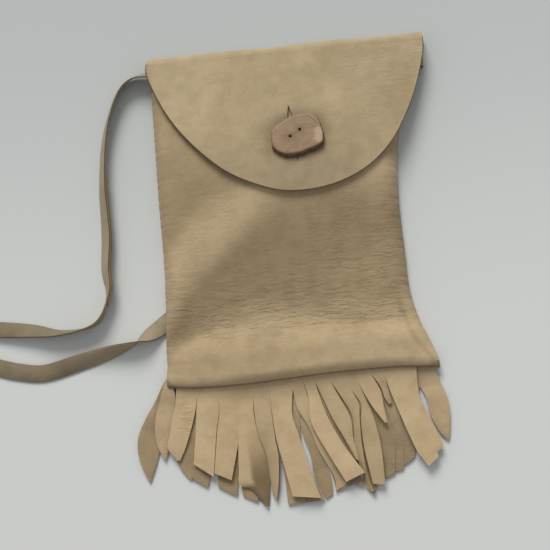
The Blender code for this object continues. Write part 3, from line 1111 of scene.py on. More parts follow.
@dataclass(frozen=True)
class Groove:
    """The hollow that the strap presses into the back of the pouch."""

    half_width: float = 0.0090
    slope: float = 0.0060
    run_out: float = 0.0045

    def depth_at(self, x: Array, y: Array, spare: float = 0.0) -> Array:
        """How far the leather is raised over the strap beneath it.

        Args:
            x: Places across.
            y: Heights above the seam.
            spare: How much wider the hollow is made.

        Returns:
            The rise at each place.
        """
        stops = np.array(Strap.under_route())
        nearest = np.full(np.shape(x), np.inf)
        for start, end in zip(stops, stops[1:]):
            along = end - start
            t = np.clip(((x - start[0]) * along[0] + (y - start[1]) * along[1]) / (along @ along), 0, 1)
            nearest = np.minimum(nearest, np.hypot(x - start[0] - along[0] * t, y - start[1] - along[1] * t))
        inside = smooth_step((self.half_width + self.slope + spare - nearest) / self.slope)
        return FORM.groove_depth * inside * smooth_step((FORM.roll_line - y) / self.run_out)


@dataclass
class BackPanel:
    """The flat back of the pouch, up to where the fold starts to roll."""

    looks: Looks
    columns: int = 90
    rows: int = 110

    def build(self) -> bpy.types.Object:
        """Builds the panel and seats it.

        Returns:
            The panel.
        """
        u, v = np.meshgrid(np.linspace(0, 1, self.columns), np.linspace(0, 1, self.rows))
        y = FORM.gap + (FORM.roll_line - FORM.gap) * v
        x = FORM.left(y) + (FORM.right(y) - FORM.left(y)) * u
        z = FORM.leather / 2 + Groove().depth_at(x, y)
        obj = leather_sheet("back_panel_leather", x, y, z, [self.looks.hide, self.looks.edge])
        x, y, _ = bag_places(obj).T
        inside = np.minimum(x - FORM.left(y), FORM.right(y) - x)
        mark(obj, "pucker", np.exp(-np.clip(inside, 0, 1) / 0.004) * 0.6)
        mark(obj, "crease", 0.25 + 0.2 * unrest(x, y, 0.02, 0.06, 31))
        # A little painted shade over the whole back.
        mark(obj, "shade", np.full(len(x), 0.1))
        seat(obj, Body.POUCH, Slot.BUCKSKIN, "back_panel")
        return obj


@dataclass
class FlapAndFold:
    """The fold's roll and the rounded flap, which are one piece of leather with a slit for the button."""

    looks: Looks
    columns: int = 150
    roll_rows: int = 22
    flap_rows: int = 84
    half_width: float = 0.0748
    centre: float = 0.0060
    length: float = 0.0840
    shoulder: float = 0.0030
    slit_top: tuple[float, float] = (0.0013, 0.1432)
    slit_foot: tuple[float, float] = (0.0054, 0.1090)
    slit_width: float = 0.0056
    bend_length: float = 0.010
    side_reach: float = 0.0750
    cut_low: float = 0.005
    cut_high: float = 0.025

    def edge(self, x: Array) -> Array:
        """The height above the seam of the flap's cut edge.

        Args:
            x: Places across, in metres.

        Returns:
            The height at each place.
        """
        side = np.where(x > self.centre, self.side_reach - self.centre, self.side_reach + self.centre)
        share = np.clip(np.abs(x - self.centre) / side, 0, 1)
        round_by = np.where(x > self.centre, 0.44 + 0.26 * share**3, 0.72 + 0.04 * share)
        deep = self.length - FORM.roll_radius - self.shoulder
        wander = 0.0005 * unrest(x, 0 * x, 0.018, 0.05, 3) * (1 - share**6)
        return FORM.roll_line - self.shoulder - deep * (1 - share**2) ** round_by + wander

    def height(self, x: Array, y: Array) -> Array:
        """How high the middle of the flap's leather lies.

        Args:
            x: Places across, in metres.
            y: Heights above the seam.

        Returns:
            The height at each place.
        """
        over = y - self.edge(x)
        left = smooth_step((0.010 - x) / 0.07)
        lift = (0.0009 + 0.0014 * left) * np.exp(-np.clip(over, 0, 1) / 0.010)
        soft = 0.0004 * smooth_step((FORM.roll_line - y) / 0.02) * (1 + unrest(x, y, 0.03, 0.07, 9))
        up, beside = from_line(x, y, np.array(self.slit_foot), np.array(self.slit_top))
        lips = hill(up, 0.028, 0.009) * np.exp(-np.abs(beside) / 0.003)
        lips = 0.0008 * lips * np.where(beside < 0, 1.0, 0.2)
        return FORM.crown(x, y) + FORM.layer + lift + soft + lips

    def surface(self) -> tuple[Array, Array]:
        """The middle surface of roll and flap.

        Returns:
            The points row by row, from the back round the roll to the flap's edge, and
            the faces.
        """
        across = np.linspace(0, 1, self.columns)
        x = -self.half_width * np.cos(math.pi * across)
        rows = []
        sag = 0.0006 * unrest(x, 0 * x, 0.05, 0.12, 17)
        for t in np.linspace(0, 1, self.roll_rows)[:-1]:
            angle = math.pi * t
            out = np.sin(angle)
            y = FORM.roll_line + (FORM.roll_radius + sag) * out
            z = FORM.leather / 2 + FORM.roll_radius * (1 - math.cos(angle)) + 0 * x
            rows.append(np.stack([x, y, z], -1))
        for t in np.linspace(0, 1, self.flap_rows):
            y = FORM.roll_line + (self.edge(x) - FORM.roll_line) * t
            rows.append(np.stack([x, y, self.height(x, y)], -1))
        points = np.concatenate(rows)
        faces = grid_faces(len(rows), self.columns)[:, ::-1]
        return points, faces

    def slit(self) -> bpy.types.Object:
        """The cutter for the buttonhole: a lens with a sharp upper end.

        Returns:
            The cutter.
        """
        top, foot = np.array(self.slit_top), np.array(self.slit_foot)
        along = top - foot
        across = np.array([along[1], -along[0]]) / np.linalg.norm(along)
        t = np.linspace(0, 1, 15)
        bulge = self.slit_width / 2 * np.sin(math.pi * t) ** 1.15 * (0.45 + 0.60 * t)
        right = foot + along * t[:, None] + across * bulge[:, None]
        left = foot + along * t[:, None] - across * bulge[:, None]
        ring = np.concatenate([right, left[-2:0:-1]])
        return prism("slit_cutter", ring, self.cut_low, self.cut_high, [self.looks.flap, self.looks.edge])

    def build(self) -> bpy.types.Object:
        """Builds the leather and cuts its slit.

        Returns:
            The flap with its fold.
        """
        points, faces = self.surface()
        obj = mesh_object("flap_and_fold", points, faces, [self.looks.flap, self.looks.edge])
        thicken(obj)
        cut_away(obj, [self.slit()])
        obj.data.set_sharp_from_angle(angle=LEATHER_SHARP)
        self.dress(obj)
        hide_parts("flap", "buttonhole_lips")
        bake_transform(obj)
        LOG.info("%s: %d faces, bending between its bodies", obj.name, len(obj.data.polygons))
        return obj

    def dress(self, obj: bpy.types.Object) -> None:
        """Marks where the leather is creased, and where shade is painted on it.

        Args:
            obj: The flap with its fold.
        """
        x, y, _ = bag_places(obj).T
        away = np.hypot((x - 0.0053) / 0.019, (y - 0.1245) / 0.016)
        creased = 0.45 * smooth_step((x - 0.018) / 0.03) * smooth_step((y - 0.118) / 0.02)
        creased = creased + 0.22 * hill(away, 1.1, 0.30) + 0.05
        mark(obj, "crease", np.clip(creased * (0.7 + 0.5 * unrest(x, y, 0.010, 0.03, 5)), 0, 1))
        # Painted shade: a little all over, more on the flap's lower part and right side, and in a ring round
        # the button and under it.
        right = smooth_step((x - 0.015) / 0.035)
        low = 0.12 + 0.45 * smooth_step((0.150 - y) / 0.05) * (1 - 0.62 * right)
        low = low + 0.10 * right * smooth_step((y - 0.11) / 0.03) + 0.14 * right * hill(y, 0.134, 0.018)
        painted_halo = hill(away, 0.70, 0.30) * (0.26 + 0.32 * smooth_step((y - 0.120) / 0.012))
        mark(obj, "shade", np.clip(low + painted_halo + 0.15 * np.exp(-(away**2)), 0, 1))
        mark(obj, "pucker", np.zeros(len(x)))


# ---- the fringe


@dataclass(frozen=True)
class Strip:
    """One cut strip of the fringe, from its root down.

    Attributes:
        rungs: Across the strip, the x and y of its left and of its right edge, in mm.
        lifts: How far each rung's left and right end is lifted off its bed, in mm.
        camber: How far its middle bulges up, in mm.
        shade: How much shade is painted on it, from 0 to 1; for the back comb it also stands for the flesh
            side's darker tone.
        loose: Whether it hangs from a corner and not from the comb's band.
        lean: How far its band narrows to the top at its right, in mm.
        crest: Where across it a fold runs down it, or None.
        turned: How much more shade is painted on it beyond that fold and towards its end.
    """

    rungs: Points
    lifts: Points
    camber: float = 0.0
    shade: float = 0.0
    loose: bool = False
    lean: float = 0.0
    crest: float | None = None
    turned: float = 0.0


@dataclass
class Comb:
    """A comb of leather: an uncut band in the seam, and the strips cut below it."""

    name: str
    node: str
    strips: Sequence[Strip]
    layer: int
    look: bpy.types.Material
    edge: bpy.types.Material
    flat: tuple[float, float]
    area: float
    band_top: float = 0.0045
    fall_length: float = 0.0110
    clearance: float = 0.0001
    band_rows: int = 5
    across: int = 9
    step: float = 1.5
    crease: float = 0.10

    def bed(self, y: Array) -> Array:
        """How high the leather lies: in the seam, then down on what is under it.

        Args:
            y: Heights above the seam, in metres.

        Returns:
            The height at each place.
        """
        rest = self.clearance + FORM.leather / 2
        seam = FORM.layer + FORM.leather / 2
        fall = smooth_step(1 + (y + FORM.gap) / self.fall_length)
        return rest + self.layer * FORM.layer + (seam - rest) * fall

    def bulge(self, strip: Strip, s: Array) -> Array:
        """How a strip's cross-section bulges, from 0 at its edges to 1.

        Args:
            strip: The strip.
            s: Shares of the way across it.

        Returns:
            The bulge at each share.
        """
        if strip.crest is None:
            return 4 * s * (1 - s)
        near, far = s / strip.crest, (1 - s) / (1 - strip.crest)
        return np.minimum(near, far) ** 0.8

    def patch(self, strip: Strip, left: Array, right: Array) -> tuple[Array, Array]:
        """Lofts one strip.

        Args:
            strip: The strip.
            left: Where its left edge leaves the band, in mm.
            right: Where its right edge leaves the band, in mm.

        Returns:
            The points row by row and how much shade is painted at each.
        """
        rungs = np.column_stack([np.array(strip.rungs, float), np.array(strip.lifts, float)])
        rungs[0, :2], rungs[0, 2:4] = left, right
        middle = (rungs[:, :2] + rungs[:, 2:4]) / 2
        course = route_through(np.column_stack([middle, rungs, np.arange(len(rungs))]), self.step)[:, 2:]
        share = course[:, -1] / (len(rungs) - 1)
        if not strip.loose:
            top = self.band_top / MM
            band = []
            for t in np.arange(self.band_rows) / self.band_rows:
                far = right[0] - strip.lean * (1 - t)
                band.append((left[0], top + (left[1] - top) * t, far, top + (right[1] - top) * t, 0, 0, 0))
            course = np.vstack([band, course])
            share = np.concatenate([np.zeros(self.band_rows), share])
        s = np.linspace(0, 1, self.across)
        x = (course[:, :1] + (course[:, 2:3] - course[:, :1]) * s) * MM
        y = (course[:, 1:2] + (course[:, 3:4] - course[:, 1:2]) * s) * MM
        lift = course[:, 4:5] + (course[:, 5:6] - course[:, 4:5]) * s
        ramp = smooth_step(share * 2.5)[:, None]
        wobble = 0.22 * unrest(x, y, 0.010, 0.022, 40 + self.layer)
        z = self.bed(y) + (lift + ramp * (strip.camber * self.bulge(strip, s) + wobble)) * MM
        z = np.maximum(z, FORM.leather / 2 + self.clearance)
        # Painted shade: the strip's own share, less in the band, and more beyond its fold.
        dark = strip.shade * (1.0 if strip.loose else 0.25 + 0.75 * ramp) + 0 * x
        if strip.crest is not None:
            down = share[:, None]
            past = np.maximum(smooth_step((s - strip.crest) / 0.08), smooth_step((down - 0.70) / 0.10))
            dark = dark + strip.turned * smooth_step((down - 0.22) / 0.5) * past
        return np.stack([x, y, z], -1).reshape(-1, 3), dark.ravel()

    def build(self) -> bpy.types.Object:
        """Builds the comb and seats it.

        Returns:
            The comb.
        """
        points, faces, shades, total = [], [], [], 0
        for index, strip in enumerate(self.strips):
            left, right = np.array(strip.rungs[0][:2], float), np.array(strip.rungs[0][2:], float)
            before = self.strips[index - 1] if index else None
            after = self.strips[index + 1] if index + 1 < len(self.strips) else None
            if not strip.loose and before and not before.loose:
                left = (left + np.array(before.rungs[0][2:])) / 2
            if not strip.loose and after and not after.loose:
                right = (right + np.array(after.rungs[0][:2])) / 2
            found, dark = self.patch(strip, left, right)
            rows = len(found) // self.across
            points.append(found)
            shades.append(dark)
            faces.append(grid_faces(rows, self.across)[:, ::-1] + total)
            total += len(found)
        obj = mesh_object(
            self.name, np.concatenate(points), np.concatenate(faces), [self.look, self.edge],
            {"shade": np.concatenate(shades)},
        )
        weld(obj)
        thicken(obj)
        x, y, _ = bag_places(obj).T
        first = hill(x, -0.0615, 0.005) * hill(y, -0.0185, 0.009) * self.layer
        mark(obj, "crease", np.clip(self.crease * (0.4 + 0.9 * unrest(x, y, 0.02, 0.05, 6)) + first, 0, 1))
        seat(obj, Body.POUCH, Slot.BUCKSKIN, self.node)
        return obj


# The fourth field of each strip, after its camber, is the shade painted on it.
FRONT_STRIPS = (
    Strip(((-65.9, -2.9, -55.4, -6.2), (-67.9, -13.9, -56.8, -14.6), (-70.1, -24.8, -59.7, -24.6),
           (-71.6, -32.3, -62.6, -32.8), (-66.6, -38.9, -65.7, -38.7)),
          ((0, 0), (0.5, 0.2), (0.9, 0.4), (0.7, 0.3), (0.2, 0.2)), 0.3),
    Strip(((-55.1, -7.0, -44.4, -6.9), (-56.3, -16.4, -44.6, -16.3), (-57.0, -27.3, -46.3, -26.3),
           (-58.5, -41.1, -48.4, -48.1)),
          ((0, 0), (0.3, 0.2), (0.4, 0.5), (1.1, 1.5)), 0.3),
    Strip(((-44.2, -7.4, -34.0, -9.8), (-44.3, -16.3, -34.3, -17.8), (-45.9, -26.3, -35.1, -30.4),
           (-47.9, -46.3, -39.5, -50.3)),
          ((0, 0), (0.1, 0.2), (0.3, 0.3), (1.2, 1.1)), 0.4),
    Strip(((-33.8, -10.2, -26.7, -7.7), (-34.5, -20.4, -26.7, -18.3), (-35.1, -33.7, -24.9, -29.4),
           (-35.5, -45.4, -21.6, -39.6), (-35.6, -52.4, -20.4, -47.9), (-30.2, -55.2, -20.8, -55.6),
           (-22.9, -63.4, -21.8, -63.9)),
          ((0, 0), (0.3, 0.2), (0.7, 0.0), (0.9, -0.9), (0.9, -1.3), (-0.4, -1.3), (-1.3, -1.3)), 1.6,
          crest=0.42, turned=1.25),
    Strip(((-26.3, -7.8, -17.9, -4.5), (-26.3, -16.7, -17.4, -18.1), (-24.8, -27.7, -16.1, -31.6),
           (-21.1, -38.8, -14.8, -40.0), (-20.1, -47.1, -15.5, -52.4), (-18.8, -58.7, -16.9, -61.3)),
          ((0, 0), (0.2, 0.5), (0.2, 1.4), (-0.2, 2.0), (-1.0, 1.2), (-1.2, 0.4)), 0.2, 0.30),
    Strip(((-17.9, -4.7, -6.0, -5.8), (-17.2, -17.5, -7.1, -18.7), (-15.5, -31.7, -4.2, -30.4),
           (-12.2, -45.8, -0.1, -45.6), (-9.0, -60.0, 4.9, -61.6)),
          ((0, 0), (0.5, 0.3), (1.0, 0.7), (1.5, 1.2), (1.9, 1.7)), 0.5),
    Strip(((-5.9, -7.1, -0.5, -3.2), (-4.1, -16.5, 2.7, -16.1), (0.8, -25.8, 5.0, -25.8),
           (5.6, -38.8, 12.0, -38.6), (12.2, -51.6, 18.3, -51.0), (12.4, -58.8, 17.9, -55.3)),
          ((0, 0), (0.0, -0.1), (-0.2, -0.4), (-0.4, -0.6), (-0.5, -0.6), (-0.8, -0.8)), 0.1, 0.25),
    Strip(((-0.3, -3.2, 5.6, -3.6), (1.9, -11.8, 7.6, -11.8), (2.7, -24.5, 11.1, -22.6),
           (10.0, -39.9, 18.9, -38.0), (18.1, -54.5, 27.7, -50.5)),
          ((0, 0), (0.5, 0.4), (1.7, 1.0), (2.4, 1.7), (2.6, 2.4)), 0.3),
    Strip(((5.9, -3.7, 13.3, -3.8), (9.1, -11.9, 16.2, -9.9), (13.6, -23.1, 22.1, -22.9),
           (18.6, -32.9, 22.9, -34.1), (23.2, -42.3, 25.2, -45.8)),
          ((0, 0), (0.1, 0.6), (0.5, 0.4), (0.4, -0.2), (-0.3, -0.4)), 0.4, 0.1),
    Strip(((13.8, -4.2, 22.9, -8.2), (17.8, -11.2, 26.7, -15.7), (23.4, -22.1, 27.0, -23.6),
           (23.8, -34.2, 27.3, -36.1), (25.4, -45.8, 29.0, -50.9), (29.4, -59.1, 31.8, -60.0)),
          ((0, 0), (0.2, 0.3), (0.3, 1.9), (0.0, 2.4), (-0.4, 2.0), (-0.8, 1.0)), 0.2, 0.35),
    Strip(((23.5, -8.7, 27.3, -5.2), (28.2, -16.6, 31.7, -17.3), (27.4, -24.5, 34.5, -26.6),
           (28.1, -37.8, 36.5, -39.1), (31.2, -56.1, 37.1, -57.0)),
          ((0, 0), (-0.4, -0.2), (0.6, 0.8), (1.0, 1.1), (1.3, 1.2)), 0.3, 0.3),
    Strip(((27.7, -5.0, 33.8, -1.4), (30.5, -12.1, 38.1, -10.1), (34.8, -20.0, 39.2, -18.6),
           (39.5, -26.5, 40.3, -27.0)),
          ((0, 0), (1.0, 0.9), (2.2, 1.5), (1.9, 1.6)), 0.3),
    Strip(((34.3, -1.4, 41.1, -5.3), (38.2, -8.1, 42.1, -10.4), (40.1, -14.5, 42.9, -14.7),
           (42.1, -17.5, 43.2, -17.0)),
          ((0, 0), (0.5, -0.2), (1.0, 0.0), (0.4, 0.2)), 0.1, 0.35),
    Strip(((41.9, -3.3, 57.0, -2.7), (42.7, -9.6, 57.2, -12.3), (46.1, -19.9, 58.6, -18.3),
           (50.1, -31.4, 63.4, -30.2), (54.2, -41.9, 66.9, -39.3), (56.0, -44.5, 64.0, -42.3),
           (59.1, -49.3, 64.3, -45.1)),
          ((0, 0), (0.8, 0.4), (1.4, 0.6), (1.9, 1.2), (1.9, 1.6), (1.9, 1.6), (1.8, 1.8)), 0.3),
)

# The fourth field of each strip is the shade painted on it, which on this comb also stands for the flesh
# side's darker tone.
BACK_STRIPS = (
    Strip(((-69.4, 5.6, -66.5, 4.0), (-72.8, 1.0, -69.8, -0.8), (-76.5, -5.8, -72.8, -7.7),
           (-82.6, -16.2, -75.5, -16.5), (-87.1, -26.1, -77.3, -24.1), (-86.9, -36.7, -76.6, -33.7),
           (-82.2, -48.3, -81.6, -48.4)),
          ((0, 0), (0, 0), (0.3, -0.3), (0.9, -0.2), (1.2, -0.2), (0.9, 0.0), (0.2, 0.2)), 0.3, 0.50, True),
    Strip(((-69.2, 5.8, -65.5, 4.2), (-72.0, 1.2, -67.6, -0.9), (-75.4, -8.9, -67.0, -6.0),
           (-77.9, -19.0, -68.8, -17.0), (-77.3, -29.3, -70.9, -29.6), (-73.7, -38.1, -72.8, -36.7)),
          ((0.9, 0.9), (1.1, 0.9), (1.4, 0.9), (1.5, 0.9), (1.3, 0.8), (0.9, 0.6)), 0.3, 0.0, True),
    Strip(((-66.5, -3.8, -55.9, -6.0), (-65.7, -15.7, -56.4, -16.2), (-66.1, -28.4, -57.3, -28.9),
           (-67.3, -39.6, -59.2, -42.2), (-61.6, -48.3, -59.9, -48.8)),
          ((0, 0), (0, 0), (0, 0.1), (0.3, 0.1), (0.1, 0.1)), 0.0, 0.60),
    Strip(((-55.9, -6.0, -46.4, -6.6), (-57.2, -25.5, -47.3, -26.1), (-60.0, -41.7, -49.8, -43.6),
           (-60.2, -47.8, -52.1, -53.0)),
          ((0, 0), (0, 0), (0.1, 0), (0.5, 0.3)), 0.1, 0.80),
    Strip(((-45.9, -6.6, -36.5, -7.0), (-45.7, -29.6, -35.6, -31.0), (-46.5, -46.3, -36.5, -48.6),
           (-46.9, -52.9, -37.2, -58.2)),
          ((0, 0), (0, 0), (0.1, 0.1), (0.4, 0.3)), 0.1, 0.70),
    Strip(((-36.0, -7.0, -27.0, -7.0), (-35.0, -30.3, -26.8, -30.9), (-34.9, -47.0, -26.6, -47.5),
           (-34.4, -58.2, -26.8, -61.9)),
          ((0, 0), (0, 0), (0.1, 0), (0.3, 0.1)), 0.1, 0.70),
    Strip(((-26.6, -7.0, -18.4, -6.6), (-24.6, -24.0, -18.2, -24.0), (-23.2, -36.0, -18.4, -36.0),
           (-21.8, -48.0, -18.6, -48.0)),
          ((0, 0), (0, 0), (0, 0), (0, 0)), 0.0, 0.85),
    Strip(((-17.8, -6.6, -9.3, -6.9), (-15.2, -31.5, -7.5, -32.1), (-12.8, -50.0, -4.4, -49.7),
           (-11.8, -63.6, -2.4, -63.3)),
          ((0, 0), (0, 0), (0.2, 0.1), (0.5, 0.4)), 0.1, 0.55),
    Strip(((-9.0, -6.9, -4.0, -7.0), (-7.4, -27.0, -3.5, -27.2), (-6.0, -40.6, -3.1, -41.0),
           (-4.2, -50.0, 1.4, -51.0), (-2.0, -63.2, 6.6, -62.6)),
          ((0, 0), (0, 0), (0, 0), (0.0, 0.1), (0.3, 0.4)), 0.1, 0.60),
    Strip(((-3.6, -7.0, 1.2, -7.2), (-3.0, -26.8, 2.4, -27.2), (0.8, -39.8, 5.9, -40.4),
           (2.2, -50.2, 9.9, -49.6), (7.2, -62.0, 10.9, -60.0)),
          ((0, 0), (0, 0), (0, 0), (0.1, 0.1), (0.3, 0.2)), 0.1, 0.60),
    Strip(((1.6, -7.2, 9.0, -7.8), (6.0, -32.7, 12.8, -33.2), (11.0, -49.7, 18.7, -50.1),
           (12.9, -58.8, 21.4, -55.8)),
          ((0, 0), (0, 0), (0, 0.2), (0.2, 0.6)), 0.1, 0.85),
    Strip(((9.3, -7.8, 17.0, -8.4), (13.1, -33.3, 21.5, -33.8), (20.0, -50.3, 25.0, -50.6),
           (22.5, -56.2, 26.6, -56.5)),
          ((0, 0), (0, 0), (0.2, 0.8), (0.3, 1.2)), 0.1, 0.85),
    Strip(((17.4, -8.4, 27.6, -9.0), (22.8, -33.6, 32.0, -34.4), (26.1, -50.9, 34.0, -51.2),
           (27.4, -57.3, 31.2, -61.6)),
          ((0, 0), (0, 0), (0.1, 0.3), (0.2, 0.8)), 0.1, 0.70),
    Strip(((28.0, -9.0, 37.0, -10.0), (35.4, -31.6, 43.4, -32.1), (36.4, -44.8, 43.1, -43.6),
           (37.3, -54.0, 42.3, -51.3)),
          ((0, 0), (0.1, 0.3), (0.2, 0.6), (0.3, 0.7)), 0.2, 0.85),
    Strip(((37.4, -10.0, 45.0, -10.5), (43.2, -30.4, 48.0, -30.7), (42.9, -43.6, 47.3, -43.0),
           (42.3, -51.0, 46.7, -49.5)),
          ((0, 0), (0.0, 0.2), (0.0, 0.3), (0.1, 0.3)), 0.2, 0.80),
    Strip(((45.3, -10.5, 57.5, -10.0), (47.8, -26.0, 54.6, -28.0), (47.7, -39.8, 53.4, -39.3),
           (46.8, -48.1, 52.6, -44.3)),
          ((0, 0), (0.0, 0.2), (0.0, 0.2), (0.1, 0.3)), 0.2, 0.80),
    Strip(((58.5, -9.0, 68.6, -8.6), (60.9, -15.8, 71.1, -15.6), (62.3, -24.2, 71.7, -23.2),
           (66.1, -32.7, 71.0, -31.4), (69.3, -36.4, 70.2, -36.1)),
          ((0, 0), (0.7, 0.5), (0.9, 0.8), (0.8, 0.6), (0.3, 0.3)), 0.3, 0.05, lean=4.2),
)


# ---- the stitches


@dataclass
class Stitches:
    """The thread ticks of the bottom seam, laid along it by geometry nodes."""

    looks: Looks
    spacing: float = 0.0041
    length: float = 0.0015
    radius: float = 0.00020
    unrest: float = 0.60
    seed: int = 5
    start: float = -0.0690
    end: float = 0.0680
    height: float = 0.0043
    below_foot: float = 0.0004
    stops: int = 90

    def tree(self) -> bpy.types.GeometryNodeTree:
        """Lays out the nodes that set a tick across the seam at each step.

        Returns:
            The node tree, with its sizes as named inputs.
        """
        tree = bpy.data.node_groups.new("stitches", "GeometryNodeTree")
        sides = tree.interface
        sides.new_socket("Geometry", in_out="INPUT", socket_type="NodeSocketGeometry")
        for name in ("Spacing", "Length", "Radius", "Unrest"):
            sides.new_socket(name, in_out="INPUT", socket_type="NodeSocketFloat")
        sides.new_socket("Seed", in_out="INPUT", socket_type="NodeSocketInt")
        sides.new_socket("Material", in_out="INPUT", socket_type="NodeSocketMaterial")
        sides.new_socket("Geometry", in_out="OUTPUT", socket_type="NodeSocketGeometry")
        new = tree.nodes.new
        given, made = new("NodeGroupInput"), new("NodeGroupOutput")
        curve, points = new("GeometryNodeMeshToCurve"), new("GeometryNodeCurveToPoints")
        points.mode = "LENGTH"
        ball, size = new("GeometryNodeMeshUVSphere"), new("ShaderNodeCombineXYZ")
        ball.inputs["Segments"].default_value = 6
        ball.inputs["Rings"].default_value = 5
        lay, turn = new("FunctionNodeAlignRotationToVector"), new("FunctionNodeRotateRotation")
        lay.axis = "X"
        chance, askew = new("FunctionNodeRandomValue"), new("ShaderNodeCombineXYZ")
        low = new("ShaderNodeMath")
        low.operation = "MULTIPLY"
        low.inputs[1].default_value = -1.0
        place, real = new("GeometryNodeInstanceOnPoints"), new("GeometryNodeRealizeInstances")
        paint = new("GeometryNodeSetMaterial")
        for source, side, target, other in (
            (given, "Geometry", curve, "Mesh"), (curve, "Curve", points, "Curve"),
            (given, "Spacing", points, "Length"), (given, "Radius", size, "X"),
            (given, "Length", size, "Y"), (given, "Radius", size, "Z"),
            (points, "Tangent", lay, "Vector"), (given, "Unrest", low, 0), (low, 0, chance, 2),
            (given, "Unrest", chance, 3), (given, "Seed", chance, "Seed"), (chance, 1, askew, "Z"),
            (lay, "Rotation", turn, "Rotation"), (askew, 0, turn, "Rotate By"),
            (points, "Points", place, "Points"), (ball, "Mesh", place, "Instance"),
            (turn, "Rotation", place, "Rotation"), (size, 0, place, "Scale"),
            (place, "Instances", real, "Geometry"), (real, "Geometry", paint, "Geometry"),
            (given, "Material", paint, "Material"), (paint, "Geometry", made, "Geometry"),
        ):
            tree.links.new(source.outputs[side], target.inputs[other])
        return tree

    def build(self) -> bpy.types.Object:
        """Builds the ticks and seats them.

        Returns:
            The ticks.
        """
        x = np.linspace(self.start, self.end, self.stops)
        y = through(FrontPanel.foot_line, x) - self.below_foot
        z = self.height + 0 * x
        mesh = bpy.data.meshes.new("seam_stitches")
        places = np.stack([x, y, z], -1) + np.array(PLACE)
        mesh.from_pydata(places.tolist(), [(i, i + 1) for i in range(len(x) - 1)], [])
        obj = show("seam_stitches", mesh)
        laid = obj.modifiers.new("stitches", "NODES")
        laid.node_group = self.tree()
        given = {
            "Spacing": self.spacing, "Length": self.length / 2, "Radius": self.radius,
            "Unrest": self.unrest, "Seed": self.seed, "Material": self.looks.thread,
        }
        for side in laid.node_group.interface.items_tree:
            if side.in_out == "INPUT" and side.name in given:
                laid[side.identifier] = given[side.name]
        settle(obj)
        obj.data.shade_smooth()
        return seat(obj, Body.POUCH, Slot.SINEW)


# ---- the button


